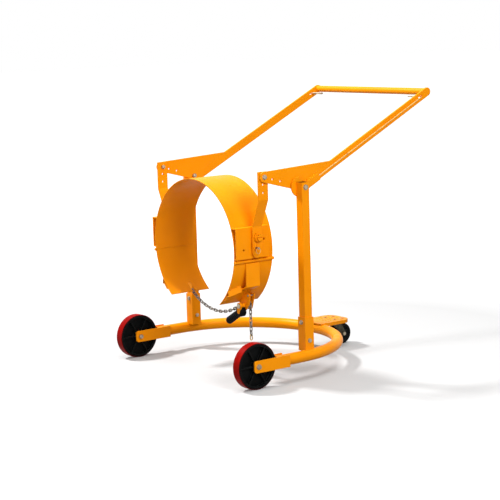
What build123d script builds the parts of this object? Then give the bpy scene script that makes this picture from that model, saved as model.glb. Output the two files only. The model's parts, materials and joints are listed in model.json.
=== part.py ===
from build123d import *
from math import acos, asin, atan2, cos, degrees, hypot, radians, sin, sqrt
import os

os.makedirs("parts", exist_ok=True)

# Drum carrier, in millimetres. X runs across it with the ratchet side at +X, -Y is the pouring
# front, +Z is up, and the origin is on the floor under the middle of its outline.

# Drum that the saddle is made for, and the saddle around it
DRUM_R = 286.0
SADDLE_W = 200.0
SADDLE_Z = 540.0
SHELL_T = 3.0
HINGE_ANGLE = 8.0           # degrees below the drum's middle
JAW_END_ANGLE = 52.5        # degrees below the drum's middle
KNUCKLE_R = 6.5
KNUCKLE_COUNT = 5
HINGE_STAND = 4.2           # hinge axis outside the shell
HINGE_ROD_R = 3.5
HINGE_ROD_PROUD = 2.0

# Places behind the front axle line, measured along the floor
PIVOT_BACK = 296.0
TIP_BACK = 122.0
BAR_BACK = 1038.0
ARC_BACK = 243.0

# Front wheels and forks
WHEEL_R = 96.0
TREAD_T = 5.0
TREAD_W = 40.0
TREAD_CHAMFER = 2.0
RIM_T = 8.0
WEB_T = 8.0
HUB_R = 24.0
RIB_COUNT = 6
RIB_T = 5.0
RIB_W = 34.0
BUSH_T = 4.0
AXLE_R = 6.0
TRACK_X = 433.0             # middle of each front wheel
FORK_T = 6.0
FORK_DEPTH = 50.0
FORK_NOSE = 21.0            # in front of the axle
FORK_CORNER = 12.0
FORK_LAP = 55.0             # along the base tube's leg

# Base tube, sockets and uprights
TUBE_R = 24.15
TUBE_WALL = 3.2
TUBE_CLEAR = 12.0           # from the wheel to the tube's front end
UPRIGHT_INSET = 28.0        # from the tube's middle line
UPRIGHT_W = 38.0
UPRIGHT_WALL = 3.0
UPRIGHT_PROUD = 21.0        # above the pivot
SOCKET_WALL = 3.5
SOCKET_RISE = 158.0         # above the base tube's middle
SOCKET_FOOT = 16.0          # above the base tube's middle
SOCKET_BOLT_R = 5.0
SOCKET_BOLT_LOW = 60.0      # above the base tube's middle
SOCKET_BOLT_HIGH = 137.0

# Foot step and swivel caster
STEP_T = 5.0
STEP_W = 150.0
STEP_FRONT = 21.0           # reach in front of the base tube's middle
STEP_TAIL = 44.0            # reach behind the kingpin
STEP_FLANGE = 10.0
STEP_CORNER = 45.0
CASTER_PLATE_W = 92.0
CASTER_PLATE_L = 72.0
CASTER_PLATE_T = 4.0
CASTER_BOLT_R = 4.0
CASTER_BOLT_INSET = 14.0
CASTER_R = 48.0
CASTER_W = 30.0
CASTER_ROUND = 5.0
CASTER_TRAIL = 42.0
CASTER_REACH = 116.0        # kingpin behind the base tube's middle
CASTER_RACE_R = 24.0
CASTER_RACE_T = 10.5
CASTER_CROWN_T = 4.0
CASTER_CROWN_W = 52.0
CASTER_LEG_T = 3.5
CASTER_LEG_R = 12.0
KINGPIN_R = 6.0
KINGPIN_HEAD_R = 9.0
KINGPIN_HEAD_T = 4.0
CASTER_AXLE_R = 5.0

# Lift handle
PIVOT_Z = 797.0
TIP_Z = 850.0
BAR_Z = 1150.0
BAR_R = 15.0
BAR_WALL = 2.5
SIDE_T = 8.0                # arms and pivot plates
SPACER_T = 4.5              # between pivot plate and quadrant
ARM_DEPTH = 37.0
ARM_DROP = 15.0             # arm's middle line below the pivot
ARM_START = 46.0            # arm's lower end behind the pivot, along the arm
PLATE_HEEL = 16.0
PLATE_REACH = 201.0
PLATE_TIP_R = 21.5
SPARE_HOLE_R = 5.0
SPARE_PITCH = 43.0
SPARE_ANGLE = 16.0          # degrees
SPARE_COUNT = 2
PIVOT_BOLT_R = 6.0
TIP_BOLT_R = 5.5

# Latch on each arm
QUADRANT_R = 32.0
EAR_R = 42.0                # round front of the quadrant plate
EAR_AHEAD = 2.0             # rear edge of that front, ahead of the pivot
QUADRANT_T = 6.0
LATCH_ANGLES = (0.0, 27.5, 55.0)    # degrees
LATCH_ROD_R = 2.7
LATCH_TRAVEL = 12.0
LATCH_PULL = 3.0
LATCH_BELOW_BAR = 42.3      # bent end, along the arm
LATCH_BEND = 11.0
LATCH_FINGER = 70.0
FINGER_R = 4.5
SLEEVE_GAP = 2.0            # from the quadrant's rim
SLEEVE_L = 75.0
SLEEVE_W = 30.0

# Hanger straps and the tilt lock
STRAP_W = 48.0
STRAP_T = 8.0
STRAP_GAP = 1.5             # between strap and handle plate
STRAP_PROUD = 22.0          # above the tip bolt
STRAP_CORNER = 3.0
STRAP_STRAIGHT = 94.0       # below the tip bolt
STRAP_KNEE = 45.0           # above the trunnion
STRAP_BEND = 10.0           # inside radius of its bends
STRAP_END_DROP = 86.0       # below the trunnion
STRAP_HOLE_DROPS = (31.0, 65.0)
TRUNNION_RISE = 59.0        # above the drum's middle
TRUNNION_R = 14.0
TRUNNION_COLLAR_T = 5.0
TRUNNION_COLLAR_R = 22.0
BUSH_WALL = 4.0
CLIP_T = 12.0
CLIP_R = 19.0
TRUNNION_PROUD = 8.0
TRUNNION_SLOT = 4.0
LOCK_AHEAD = 12.0           # of the trunnion
LOCK_DROP = 43.0            # below the trunnion
LOCK_PIN_R = 5.0
LOCK_TRAVEL = 11.0
BARREL_R = 9.0
BARREL_L = 5.0
RING_R = 11.0
RING_WIRE_R = 1.6

# Side pads of the saddle
PAD_STAND = 15.0            # flat outer face outside the shell
PAD_T = 5.0
PAD_RISE = 43.0             # above the trunnion
PAD_DROP = 29.0             # below the drum's middle
PAD_REAR_INSET = 30.0
PAD_HOLE_AHEAD = 62.0       # of the trunnion
PAD_HOLE_DROP = 49.0        # below the trunnion
PAD_HOLE_R = 4.0

# Jaw stiffeners
STRIP_T = 5.0
STRIP_AHEAD = 41.0          # of the saddle's middle
STRIP_W = 70.0
STRIP_TOP_ANGLE = 10.2      # degrees
STRIP_SEAT = 5.0            # height of its upper seat on the shell
STRIP_FLAT = 99.0           # upright part
STRIP_END_ANGLE = 36.0      # degrees
BRACKET_T = 3.0
BRACKET_RIDGE = 19.0        # ridge off the shell
BRACKET_BAND = 9.0          # lower band off the shell
BRACKET_CLIMB = 20.0        # up along the shell from its front to its rear end
BRACKET_TOP_ANGLE = 34.3    # degrees, as the next three, at its front end
BRACKET_RIDGE_ANGLE = 37.6
BRACKET_FOLD_ANGLE = 38.8
BRACKET_END_ANGLE = 46.0
BRACKET_EDGE_ANGLE = 1.5    # degrees, width of its closing edge

# Chain and ratchet
WIRE_R = 2.25
BOW_R = 5.2
LINK_HALF = 6.4             # half the straight side of a link
BOW_SIDES = 5
WIRE_CHAMFER = 1.2
CHAIN_BEHIND = 19.0         # chain plane behind the saddle's middle
CHAIN_LINKS = 27
TAIL_LINKS = 7
WRAP_LINKS = 3
SHAFT_ANGLE = 48.6          # degrees
SHAFT_OUT = 30.0            # ratchet shaft outside the jaw's outer face
SHAFT_R = 6.0
WHEEL_PITCH_R = 20.0
WHEEL_LAND_R = 15.0
WHEEL_GROOVE_R = 9.5
RATCHET_R = 20.0
RATCHET_ROOT_R = 15.5
RATCHET_TEETH = 10
RATCHET_T = 4.0
RATCHET_ANGLE = -4.0        # degrees, of the tooth that the pawl holds
CHEEK_T = 4.0
CHEEK_R = 22.0
CHEEK_SEAT_ANGLE = 41.5     # degrees, upper end of its seat
NOTCH_ANGLE = 43.0          # degrees
PAWL_OUT = 28.0
PAWL_UP = 44.0
PAWL_R = 6.5
PAWL_PIN_R = 3.0
PAWL_KNEE_R = 3.0
PAWL_FACE_ANGLE = -2.0      # degrees, of the nose
PAWL_BACK_ANGLES = (15.0, 6.0)      # degrees, inner and outer back of the nose
ANCHOR_PIN_R = 2.5
ANCHOR_T = 4.0
ANCHOR_R = 8.0
ANCHOR_SEAT_ANGLE = 2.5     # degrees, to each side of its pin
TAIL_DROP = 20.0            # last pulled joint below the ratchet shaft
LEVER_GAP = 23.0            # between lever arm and front cheek
LEVER_T = 6.0
LEVER_HUB_R = 14.0
LEVER_OFFSET = (-4.0, -25.0)
LEVER_NECK_R = 9.0
LEVER_SLEEVE_R = 9.0        # round the shaft, behind the arm
LEVER_PROUD = 1.0           # arm's front face ahead of the grip
GRIP_BOSS_R = 15.0
GRIP_R = 13.5
GRIP_L = 108.0
TANG_R = 5.0
GRIP_ANGLE = 30.0           # degrees below level
GRIP_ROUND = 9.0

# Clearances and fasteners
RUN_FIT = 0.05              # radial, shaft in bore
SIDE_FIT = 0.5              # flat faces that pass each other
SEAT_GAP = 0.3              # curved faces of different bodies
SOCKET_FIT = 0.5
WELD_SEAT = 0.6             # depth that plates are coped onto the round tube
HEAD_R_RATIO = 1.73
HEAD_T_RATIO = 1.15
NUT_T_RATIO = 1.6
THREAD_PROUND = 2.0

# Worked-out places
AXLE_Y = (WHEEL_R - BAR_BACK - ARM_DEPTH / 2) / 2
PIVOT_Y = AXLE_Y + PIVOT_BACK
TIP_Y = AXLE_Y + TIP_BACK
BAR_Y = AXLE_Y + BAR_BACK
ARC_Y = AXLE_Y + ARC_BACK
LOCK_Y = TIP_Y - LOCK_AHEAD
SADDLE_FRONT = TIP_Y - SADDLE_W / 2
SADDLE_REAR = TIP_Y + SADDLE_W / 2
SHELL_R = DRUM_R + SHELL_T
TRUNNION_Z = SADDLE_Z + TRUNNION_RISE
LOCK_Z = TRUNNION_Z - LOCK_DROP
PAD_X = SHELL_R + PAD_STAND
PAD_TOP = TRUNNION_Z + PAD_RISE
PAD_BOTTOM = SADDLE_Z - PAD_DROP
TUBE_Z = WHEEL_R
TUBE_FRONT_Y = AXLE_Y + WHEEL_R + TUBE_CLEAR
CASTER_Y = ARC_Y + TRACK_X + CASTER_REACH
STEP_REAR_Y = CASTER_Y + STEP_TAIL
STEP_Z = TUBE_Z + TUBE_R - WELD_SEAT
UPRIGHT_X = TRACK_X - UPRIGHT_INSET
UPRIGHT_IN = UPRIGHT_X - UPRIGHT_W / 2
UPRIGHT_OUT = UPRIGHT_X + UPRIGHT_W / 2
QUADRANT_IN = UPRIGHT_IN - QUADRANT_T
SIDE_OUT = QUADRANT_IN - SPACER_T
SIDE_IN = SIDE_OUT - SIDE_T
ROD_X = UPRIGHT_IN - QUADRANT_T / 2
STRAP_OUT = SIDE_IN - STRAP_GAP
STRAP_IN = STRAP_OUT - STRAP_T
STRAP_LOW_IN = PAD_X + TRUNNION_COLLAR_T + SIDE_FIT
STRAP_LOW_OUT = STRAP_LOW_IN + STRAP_T
STRAP_TOP = TIP_Z + STRAP_PROUD
STRAP_BEND_TOP = TIP_Z - STRAP_STRAIGHT
STRAP_BEND_LOW = TRUNNION_Z + STRAP_KNEE
STRAP_END = TRUNNION_Z - STRAP_END_DROP

# The handle's own axes: along the arm from below the pivot, and square to it
PIVOT_TO_BAR = hypot(BAR_Y - PIVOT_Y, BAR_Z - PIVOT_Z)
HANDLE_TILT = degrees(atan2(BAR_Z - PIVOT_Z, BAR_Y - PIVOT_Y) + asin(ARM_DROP / PIVOT_TO_BAR))
ALONG = (cos(radians(HANDLE_TILT)), sin(radians(HANDLE_TILT)))
FOOT_Y = PIVOT_Y + ARM_DROP * ALONG[1]
FOOT_Z = PIVOT_Z - ARM_DROP * ALONG[0]
BAR_ALONG = sqrt(PIVOT_TO_BAR**2 - ARM_DROP**2)
LATCH_END = BAR_ALONG - LATCH_BELOW_BAR


def rod_x(radius, x0, x1, y, z):
    return Pos((x0 + x1) / 2, y, z) * Rot(0, 90, 0) * Cylinder(radius, abs(x1 - x0))


def rod_y(radius, y0, y1, x, z):
    return Pos(x, (y0 + y1) / 2, z) * Rot(90, 0, 0) * Cylinder(radius, abs(y1 - y0))


def rod_z(radius, z0, z1, x, y):
    return Pos(x, y, (z0 + z1) / 2) * Cylinder(radius, abs(z1 - z0))


def block(x0, x1, y0, y1, z0, z1):
    return Pos((x0 + x1) / 2, (y0 + y1) / 2, (z0 + z1) / 2) * Box(x1 - x0, y1 - y0, z1 - z0)


def plate_x(outline, x0, x1):
    """Plate across X whose outline is drawn in (y, z)."""
    return extrude(Plane.YZ.offset(x0) * outline, x1 - x0, dir=(1, 0, 0))


def plate_y(outline, y0, y1):
    """Plate across Y whose outline is drawn in (x, z)."""
    return extrude(Plane((0, y1, 0), x_dir=(1, 0, 0), z_dir=(0, -1, 0)) * outline, y1 - y0, dir=(0, -1, 0))


def handle_plate_x(outline, x0, x1):
    """Plate across X whose outline is drawn along and square to the arm."""
    plane = Plane((x0, FOOT_Y, FOOT_Z), x_dir=(0, *ALONG), z_dir=(1, 0, 0))
    return extrude(plane * outline, x1 - x0, dir=(1, 0, 0))


def in_handle(y, z):
    """A side-view point in the handle's own axes."""
    dy, dz = y - FOOT_Y, z - FOOT_Z
    return dy * ALONG[0] + dz * ALONG[1], dz * ALONG[0] - dy * ALONG[1]


def far(shape):
    return mirror(shape, about=Plane.YZ)


def pair(shape):
    return [shape, far(shape)]


def on_drum(radius, fall):
    """Point (x, z) at a radius about the drum's middle, degrees below level on the +X side."""
    return radius * cos(radians(fall)), SADDLE_Z - radius * sin(radians(fall))


def hexagon(radius):
    return RegularPolygon(radius, 6)


def bolt(radius, grip, place):
    """Hex bolt and nut: the head bears at the place, the shank runs along its Z."""
    head_t = HEAD_T_RATIO * radius
    nut_t = NUT_T_RATIO * radius
    head_r = HEAD_R_RATIO * radius
    shank = Pos(0, 0, (grip + nut_t + THREAD_PROUND) / 2) * Cylinder(radius, grip + nut_t + THREAD_PROUND)
    head = extrude(hexagon(head_r), -head_t)
    nut = Pos(0, 0, grip) * extrude(hexagon(head_r) - Circle(radius + RUN_FIT), nut_t)
    return [place * (shank + head), place * nut]


def inward(x, y, z):
    return Plane((x, y, z), z_dir=(-1, 0, 0))


def save(name, *shapes):
    solids = [solid for shape in shapes for solid in shape.solids()]
    export_step(solids[0] if len(solids) == 1 else Compound(solids), f"parts/{name}.step")


# Base tube
def base_tube_solid(radius):
    """Horseshoe of one radius: a half ring with two straight legs to the front."""
    ring = Pos(0, ARC_Y, TUBE_Z) * Torus(TRACK_X, radius)
    reach = TRACK_X + 2 * radius
    ring &= block(-reach, reach, ARC_Y, ARC_Y + reach, TUBE_Z - 2 * radius, TUBE_Z + 2 * radius)
    for x in (TRACK_X, -TRACK_X):
        ring += rod_y(radius, TUBE_FRONT_Y, ARC_Y, x, TUBE_Z)
    return ring


tube_outer = base_tube_solid(TUBE_R)
save("base_tube", tube_outer - base_tube_solid(TUBE_R - TUBE_WALL))

# Fork plates and axles
FORK_IN = TUBE_R - WELD_SEAT
HUB_HALF = FORK_IN - SIDE_FIT
fork_long = TUBE_FRONT_Y + FORK_LAP - AXLE_Y
fork_outline = Rectangle(fork_long + FORK_NOSE, FORK_DEPTH)
fork_outline = fillet(fork_outline.vertices().sort_by(Axis.X)[:2], FORK_CORNER)
fork_outline = Pos(AXLE_Y + (fork_long - FORK_NOSE) / 2, WHEEL_R) * fork_outline
fork_outline -= Pos(AXLE_Y, WHEEL_R) * Circle(AXLE_R + RUN_FIT)
outer_fork = plate_x(fork_outline, TRACK_X + FORK_IN, TRACK_X + FORK_IN + FORK_T) - tube_outer
inner_fork = plate_x(fork_outline, TRACK_X - FORK_IN - FORK_T, TRACK_X - FORK_IN) - tube_outer
save("fork_plates", *pair(outer_fork), *pair(inner_fork))

axle_place = inward(TRACK_X + FORK_IN + FORK_T, AXLE_Y, WHEEL_R)
axle_set = bolt(AXLE_R, 2 * (FORK_IN + FORK_T), axle_place)
save("wheel_axles", *[half for piece in axle_set for half in pair(piece)])


# Front wheels
def wheel_ring(r0, r1, half):
    return extrude(Circle(r1) - Circle(r0), half, both=True)


def outer_rims(ring):
    rims = ring.edges().filter_by(GeomType.CIRCLE)
    return rims.group_by(lambda edge: edge.radius)[-1]


BUSH_R = AXLE_R + RUN_FIT + BUSH_T
CORE_R = WHEEL_R - TREAD_T
wheel_place = Plane((TRACK_X, AXLE_Y, WHEEL_R), x_dir=(0, 1, 0), z_dir=(1, 0, 0))
core = wheel_ring(CORE_R - RIM_T, CORE_R, TREAD_W / 2)
core += wheel_ring(BUSH_R + RUN_FIT, HUB_R, HUB_HALF)
core += wheel_ring(HUB_R, CORE_R - RIM_T, WEB_T / 2)
rib_reach = CORE_R - RIM_T / 2 - (BUSH_R + HUB_R) / 2
for angle in range(0, 360, 360 // RIB_COUNT):
    rib = Pos((BUSH_R + HUB_R) / 2 + rib_reach / 2, 0) * Box(rib_reach, RIB_T, RIB_W)
    core += Rot(0, 0, angle) * rib
tread = wheel_ring(CORE_R, WHEEL_R, TREAD_W / 2)
tread = chamfer(outer_rims(tread), TREAD_CHAMFER)
bush = wheel_ring(AXLE_R + RUN_FIT, BUSH_R, HUB_HALF)
for side, flip in (("near", False), ("far", True)):
    for name, shape in (("core", core), ("tread", tread), ("bush", bush)):
        placed = wheel_place * shape
        save(f"{side}_wheel_{name}", far(placed) if flip else placed)

# Sockets, uprights and their bolts
SOCKET_IN_W = UPRIGHT_W + 2 * SOCKET_FIT
SOCKET_W = SOCKET_IN_W + 2 * SOCKET_WALL
UPRIGHT_FOOT = TUBE_Z + TUBE_R + SOCKET_FIT


def square_tube(width, wall, z0, z1):
    ring = Rectangle(width, width) - Rectangle(width - 2 * wall, width - 2 * wall)
    return Pos(UPRIGHT_X, PIVOT_Y, z0) * extrude(ring, z1 - z0)


side_bolt_hole = rod_x(SOCKET_BOLT_R + RUN_FIT, UPRIGHT_X - SOCKET_W, UPRIGHT_X + SOCKET_W,
                       PIVOT_Y, TUBE_Z + SOCKET_BOLT_LOW)
front_bolt_hole = rod_y(SOCKET_BOLT_R + RUN_FIT, PIVOT_Y - SOCKET_W, PIVOT_Y + SOCKET_W,
                        UPRIGHT_X, TUBE_Z + SOCKET_BOLT_HIGH)
socket = square_tube(SOCKET_W, SOCKET_WALL, TUBE_Z + SOCKET_FOOT, TUBE_Z + SOCKET_RISE)
socket = socket - tube_outer - side_bolt_hole - front_bolt_hole
save("upright_sockets", *pair(max(socket.solids(), key=lambda solid: solid.volume)))

pivot_hole = rod_x(PIVOT_BOLT_R + RUN_FIT, SIDE_IN - UPRIGHT_W, UPRIGHT_OUT + UPRIGHT_W, PIVOT_Y, PIVOT_Z)
upright = square_tube(UPRIGHT_W, UPRIGHT_WALL, UPRIGHT_FOOT, PIVOT_Z + UPRIGHT_PROUD)
upright = upright - side_bolt_hole - front_bolt_hole - pivot_hole
save("uprights", *pair(upright))

side_face = inward(UPRIGHT_X + SOCKET_W / 2, PIVOT_Y, TUBE_Z + SOCKET_BOLT_LOW)
side_bolts = bolt(SOCKET_BOLT_R, SOCKET_W, side_face)
front_face = Plane((UPRIGHT_X, PIVOT_Y - SOCKET_W / 2, TUBE_Z + SOCKET_BOLT_HIGH), z_dir=(0, 1, 0))
front_bolts = bolt(SOCKET_BOLT_R, SOCKET_W, front_face)
save("socket_bolts", *[half for piece in side_bolts + front_bolts for half in pair(piece)])

# Latch quadrants, pivot bolts and spacers
quadrant = Pos(*in_handle(PIVOT_Y, PIVOT_Z)) * Circle(QUADRANT_R)
ROD_TIP = sqrt(QUADRANT_R**2 - ARM_DROP**2) + LATCH_ROD_R / 2
NOTCH_FLOOR = ROD_TIP - LATCH_TRAVEL - SIDE_FIT
for stop in LATCH_ANGLES:
    notch = Pos(NOTCH_FLOOR + QUADRANT_R / 2, 0) * Rectangle(QUADRANT_R, 2 * (LATCH_ROD_R + SEAT_GAP))
    about_pivot = Pos(0, ARM_DROP) * Rot(0, 0, stop) * Pos(0, -ARM_DROP)
    quadrant -= about_pivot * notch
ear = Pos(PIVOT_Y, PIVOT_Z) * Circle(EAR_R)
ear &= Pos(PIVOT_Y - EAR_AHEAD - EAR_R, PIVOT_Z) * Rectangle(2 * EAR_R, 2 * EAR_R)
quadrant_plate = handle_plate_x(quadrant, QUADRANT_IN, UPRIGHT_IN) + plate_x(ear, QUADRANT_IN, UPRIGHT_IN)
quadrant_plate -= pivot_hole
save("latch_quadrants", *pair(quadrant_plate))

pivot_set = bolt(PIVOT_BOLT_R, UPRIGHT_OUT - SIDE_IN + SIDE_FIT, inward(UPRIGHT_OUT, PIVOT_Y, PIVOT_Z))
save("pivot_bolts", *[half for piece in pivot_set for half in pair(piece)])
spacer = rod_x(HEAD_R_RATIO * PIVOT_BOLT_R, SIDE_OUT + SEAT_GAP, QUADRANT_IN, PIVOT_Y, PIVOT_Z) - pivot_hole
save("pivot_spacers", *pair(spacer))

# Foot step, coped onto the base tube
STEP_FRONT_Y = ARC_Y + TRACK_X - STEP_FRONT
step_mid = (STEP_FRONT_Y + STEP_REAR_Y) / 2
step_long = STEP_REAR_Y - STEP_FRONT_Y


def step_outline(inset):
    outline = Rectangle(STEP_W - 2 * inset, step_long - inset)
    rear = outline.vertices().sort_by(Axis.Y)[-2:]
    return Pos(0, step_mid - inset / 2) * fillet(rear, STEP_CORNER - inset)


caster_bolt_x = CASTER_PLATE_W / 2 - CASTER_BOLT_INSET
caster_bolt_y = CASTER_PLATE_L / 2 - CASTER_BOLT_INSET
CASTER_PLATE_Z = STEP_Z - CASTER_PLATE_T
CASTER_SPOTS = [(x, CASTER_Y + y) for x in (-caster_bolt_x, caster_bolt_x)
                for y in (-caster_bolt_y, caster_bolt_y)]
sunk_head = Cone(CASTER_BOLT_R, CASTER_BOLT_R + STEP_T, STEP_T)
step = Pos(0, 0, STEP_Z + STEP_T) * extrude(step_outline(0), -STEP_T - STEP_FLANGE)
step -= Pos(0, 0, STEP_Z) * extrude(step_outline(STEP_T), -STEP_FLANGE)
step -= tube_outer
plate = block(-CASTER_PLATE_W / 2, CASTER_PLATE_W / 2, CASTER_Y - CASTER_PLATE_L / 2,
              CASTER_Y + CASTER_PLATE_L / 2, CASTER_PLATE_Z, STEP_Z)
caster_bolts = []
for x, y in CASTER_SPOTS:
    step -= Pos(x, y, STEP_Z + STEP_T / 2) * sunk_head
    plate -= rod_z(CASTER_BOLT_R + RUN_FIT, CASTER_PLATE_Z, STEP_Z, x, y)
    nut_z = CASTER_PLATE_Z - NUT_T_RATIO * CASTER_BOLT_R
    caster_bolts.append(Pos(x, y, STEP_Z + STEP_T / 2) * sunk_head
                        + rod_z(CASTER_BOLT_R, nut_z - THREAD_PROUND, STEP_Z, x, y))
    nut_outline = hexagon(HEAD_R_RATIO * CASTER_BOLT_R) - Circle(CASTER_BOLT_R + RUN_FIT)
    caster_bolts.append(Pos(x, y, nut_z) * extrude(nut_outline, NUT_T_RATIO * CASTER_BOLT_R))
save("step_plate", step)
save("caster_bolts", *caster_bolts)

# Caster: plate with kingpin, fork, axle and wheel
CROWN_TOP = CASTER_PLATE_Z - SIDE_FIT - CASTER_RACE_T
CROWN_LOW = CROWN_TOP - CASTER_CROWN_T
kingpin_foot = CROWN_LOW - SIDE_FIT - KINGPIN_HEAD_T
plate += rod_z(KINGPIN_R, kingpin_foot, CASTER_PLATE_Z, 0, CASTER_Y)
plate += rod_z(KINGPIN_HEAD_R, kingpin_foot, kingpin_foot + KINGPIN_HEAD_T, 0, CASTER_Y)
save("caster_plate", plate)

leg_in = CASTER_W / 2 + 4 * SIDE_FIT
leg_out = leg_in + CASTER_LEG_T
caster_axle_y = CASTER_Y + CASTER_TRAIL
crown_front = CASTER_Y - CASTER_CROWN_W / 2
crown_rear = CASTER_Y + CASTER_CROWN_W / 2
crown_edge = Line((crown_front, CROWN_TOP), (crown_rear, CROWN_TOP))
leg_foot = Pos(caster_axle_y, CASTER_R) * Circle(CASTER_LEG_R)
leg_outline = make_hull(crown_edge.edges() + leg_foot.edges())
leg_outline -= Pos(caster_axle_y, CASTER_R) * Circle(CASTER_AXLE_R + RUN_FIT)
fork = block(-leg_out, leg_out, crown_front, crown_rear, CROWN_LOW, CROWN_TOP)
fork += rod_z(CASTER_RACE_R, CROWN_TOP, CROWN_TOP + CASTER_RACE_T, 0, CASTER_Y)
fork -= rod_z(KINGPIN_R + RUN_FIT, CROWN_LOW, CROWN_TOP + CASTER_RACE_T, 0, CASTER_Y)
for side in pair(plate_x(leg_outline, leg_in, leg_out)):
    fork += side
save("caster_fork", fork)
caster_axle_place = inward(leg_out, caster_axle_y, CASTER_R)
save("caster_axle", *bolt(CASTER_AXLE_R, 2 * leg_out, caster_axle_place))
caster_wheel = wheel_ring(CASTER_AXLE_R + RUN_FIT, CASTER_R, CASTER_W / 2)
caster_wheel = fillet(outer_rims(caster_wheel), CASTER_ROUND)
caster_place = Plane((0, caster_axle_y, CASTER_R), x_dir=(0, 1, 0), z_dir=(1, 0, 0))
save("caster_wheel", caster_place * caster_wheel)

# Handle: an arm and a pivot plate on each side, and the cross bar
tip_along, tip_square = in_handle(TIP_Y, TIP_Z)
half_arm = ARM_DEPTH / 2
arm_long = BAR_ALONG - ARM_START
slot_long = LATCH_TRAVEL + LATCH_PULL + 2 * LATCH_ROD_R + 8 * SIDE_FIT
slot_mid = LATCH_END + (LATCH_PULL - LATCH_TRAVEL) / 2
arm_outline = Pos(ARM_START + arm_long / 2, 0) * Rectangle(arm_long, ARM_DEPTH)
arm_outline += Pos(BAR_ALONG, 0) * Circle(half_arm)
latch_slot = Pos(slot_mid, 0) * Rectangle(slot_long, 2 * LATCH_ROD_R + 6 * SIDE_FIT)
arm = handle_plate_x(arm_outline - latch_slot, SIDE_IN, SIDE_OUT)
save("near_arm", arm)
save("far_arm", far(arm))

tip_round = Pos(tip_along, tip_square) * Circle(PLATE_TIP_R)
plate_edges = Line((PLATE_REACH, half_arm), (ARM_START, -half_arm)).edges()
plate_edges += Line((ARM_START, -half_arm), (PLATE_HEEL, -half_arm)).edges()
plate_outline = make_hull(plate_edges + tip_round.edges())
plate_outline -= Pos(ARM_START + arm_long / 2, 0) * Rectangle(arm_long, ARM_DEPTH)
plate_outline -= Pos(0, ARM_DROP) * Circle(PIVOT_BOLT_R + RUN_FIT)
plate_outline -= Pos(tip_along, tip_square) * Circle(TIP_BOLT_R + RUN_FIT)
for index in range(1, SPARE_COUNT + 1):
    hole_y = TIP_Y + index * SPARE_PITCH * cos(radians(SPARE_ANGLE))
    hole_z = TIP_Z - index * SPARE_PITCH * sin(radians(SPARE_ANGLE))
    plate_outline -= Pos(*in_handle(hole_y, hole_z)) * Circle(SPARE_HOLE_R)
handle_plate = handle_plate_x(plate_outline, SIDE_IN, SIDE_OUT)
save("near_handle_plate", handle_plate)
save("far_handle_plate", far(handle_plate))
cross_bar = rod_x(BAR_R, -SIDE_IN, SIDE_IN, BAR_Y, BAR_Z)
save("cross_bar", cross_bar - rod_x(BAR_R - BAR_WALL, -SIDE_IN, SIDE_IN, BAR_Y, BAR_Z))
tip_set = bolt(TIP_BOLT_R, SIDE_OUT - STRAP_IN + SIDE_FIT, inward(SIDE_OUT, TIP_Y, TIP_Z))
save("tip_bolts", *[half for piece in tip_set for half in pair(piece)])

# Latch rods in their guide sleeves
rod_plane = Plane((0, FOOT_Y, FOOT_Z), x_dir=(1, 0, 0), z_dir=(0, *ALONG))
sleeve_deep = 2 * (ROD_X - SIDE_OUT)
sleeve = extrude(Pos(ROD_X, 0) * (Rectangle(sleeve_deep, SLEEVE_W) - Circle(LATCH_ROD_R + RUN_FIT)), SLEEVE_L)
save("guide_sleeves", *pair(rod_plane * Pos(0, 0, QUADRANT_R + SLEEVE_GAP) * sleeve))


def along_arm(along, x):
    return x, FOOT_Y + along * ALONG[0], FOOT_Z + along * ALONG[1]


finger_tip = SIDE_IN - LATCH_FINGER
rod_path = FilletPolyline(along_arm(ROD_TIP, ROD_X), along_arm(LATCH_END, ROD_X),
                          along_arm(LATCH_END, finger_tip), radius=LATCH_BEND)
latch_rod = sweep(rod_plane * Pos(ROD_X, 0, ROD_TIP) * Circle(LATCH_ROD_R), path=rod_path)
finger_x, finger_y, finger_z = along_arm(LATCH_END, finger_tip)
finger_root = SIDE_IN - 2 * FINGER_R
latch_grip = rod_x(FINGER_R, finger_tip - LATCH_ROD_R, finger_root, finger_y, finger_z)
latch_grip -= rod_x(LATCH_ROD_R + RUN_FIT, finger_tip, finger_root, finger_y, finger_z)
save("near_latch_rod", latch_rod)
save("far_latch_rod", far(latch_rod))
save("near_latch_grip", latch_grip)
save("far_latch_grip", far(latch_grip))

# Hanger straps: flat bar set in towards the saddle by two bends
strap_middle = FilletPolyline(
    ((STRAP_IN + STRAP_OUT) / 2, STRAP_TOP), ((STRAP_IN + STRAP_OUT) / 2, STRAP_BEND_TOP),
    ((STRAP_LOW_IN + STRAP_LOW_OUT) / 2, STRAP_BEND_LOW), ((STRAP_LOW_IN + STRAP_LOW_OUT) / 2, STRAP_END),
    radius=STRAP_BEND + STRAP_T / 2)
strap_profile = trace(strap_middle, STRAP_T)
strap_bar = plate_y(strap_profile, TIP_Y - STRAP_W / 2, TIP_Y + STRAP_W / 2)
strap_face = Pos(TIP_Y, (STRAP_TOP + STRAP_END) / 2) * Rectangle(STRAP_W, STRAP_TOP - STRAP_END)
strap_face = fillet(strap_face.vertices().sort_by(Axis.Y)[-2:], STRAP_CORNER)
strap_face &= Pos(TIP_Y, STRAP_END + STRAP_W / 2) * (
    Circle(STRAP_W / 2) + Pos(0, STRAP_TOP) * Rectangle(STRAP_W, 2 * STRAP_TOP))
strap_face -= Pos(TIP_Y, TIP_Z) * Circle(TIP_BOLT_R + RUN_FIT)
for drop in STRAP_HOLE_DROPS:
    strap_face -= Pos(TIP_Y, TIP_Z - drop) * Circle(SPARE_HOLE_R)
BUSH_OUT = TRUNNION_R + RUN_FIT + BUSH_WALL
strap_face -= Pos(TIP_Y, TRUNNION_Z) * Circle(BUSH_OUT + RUN_FIT)
strap = strap_bar & plate_x(strap_face, STRAP_LOW_IN, STRAP_OUT)
lock_hole = rod_x(LOCK_PIN_R + RUN_FIT, PAD_X - 2 * PAD_T, STRAP_OUT, LOCK_Y, LOCK_Z)
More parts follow.
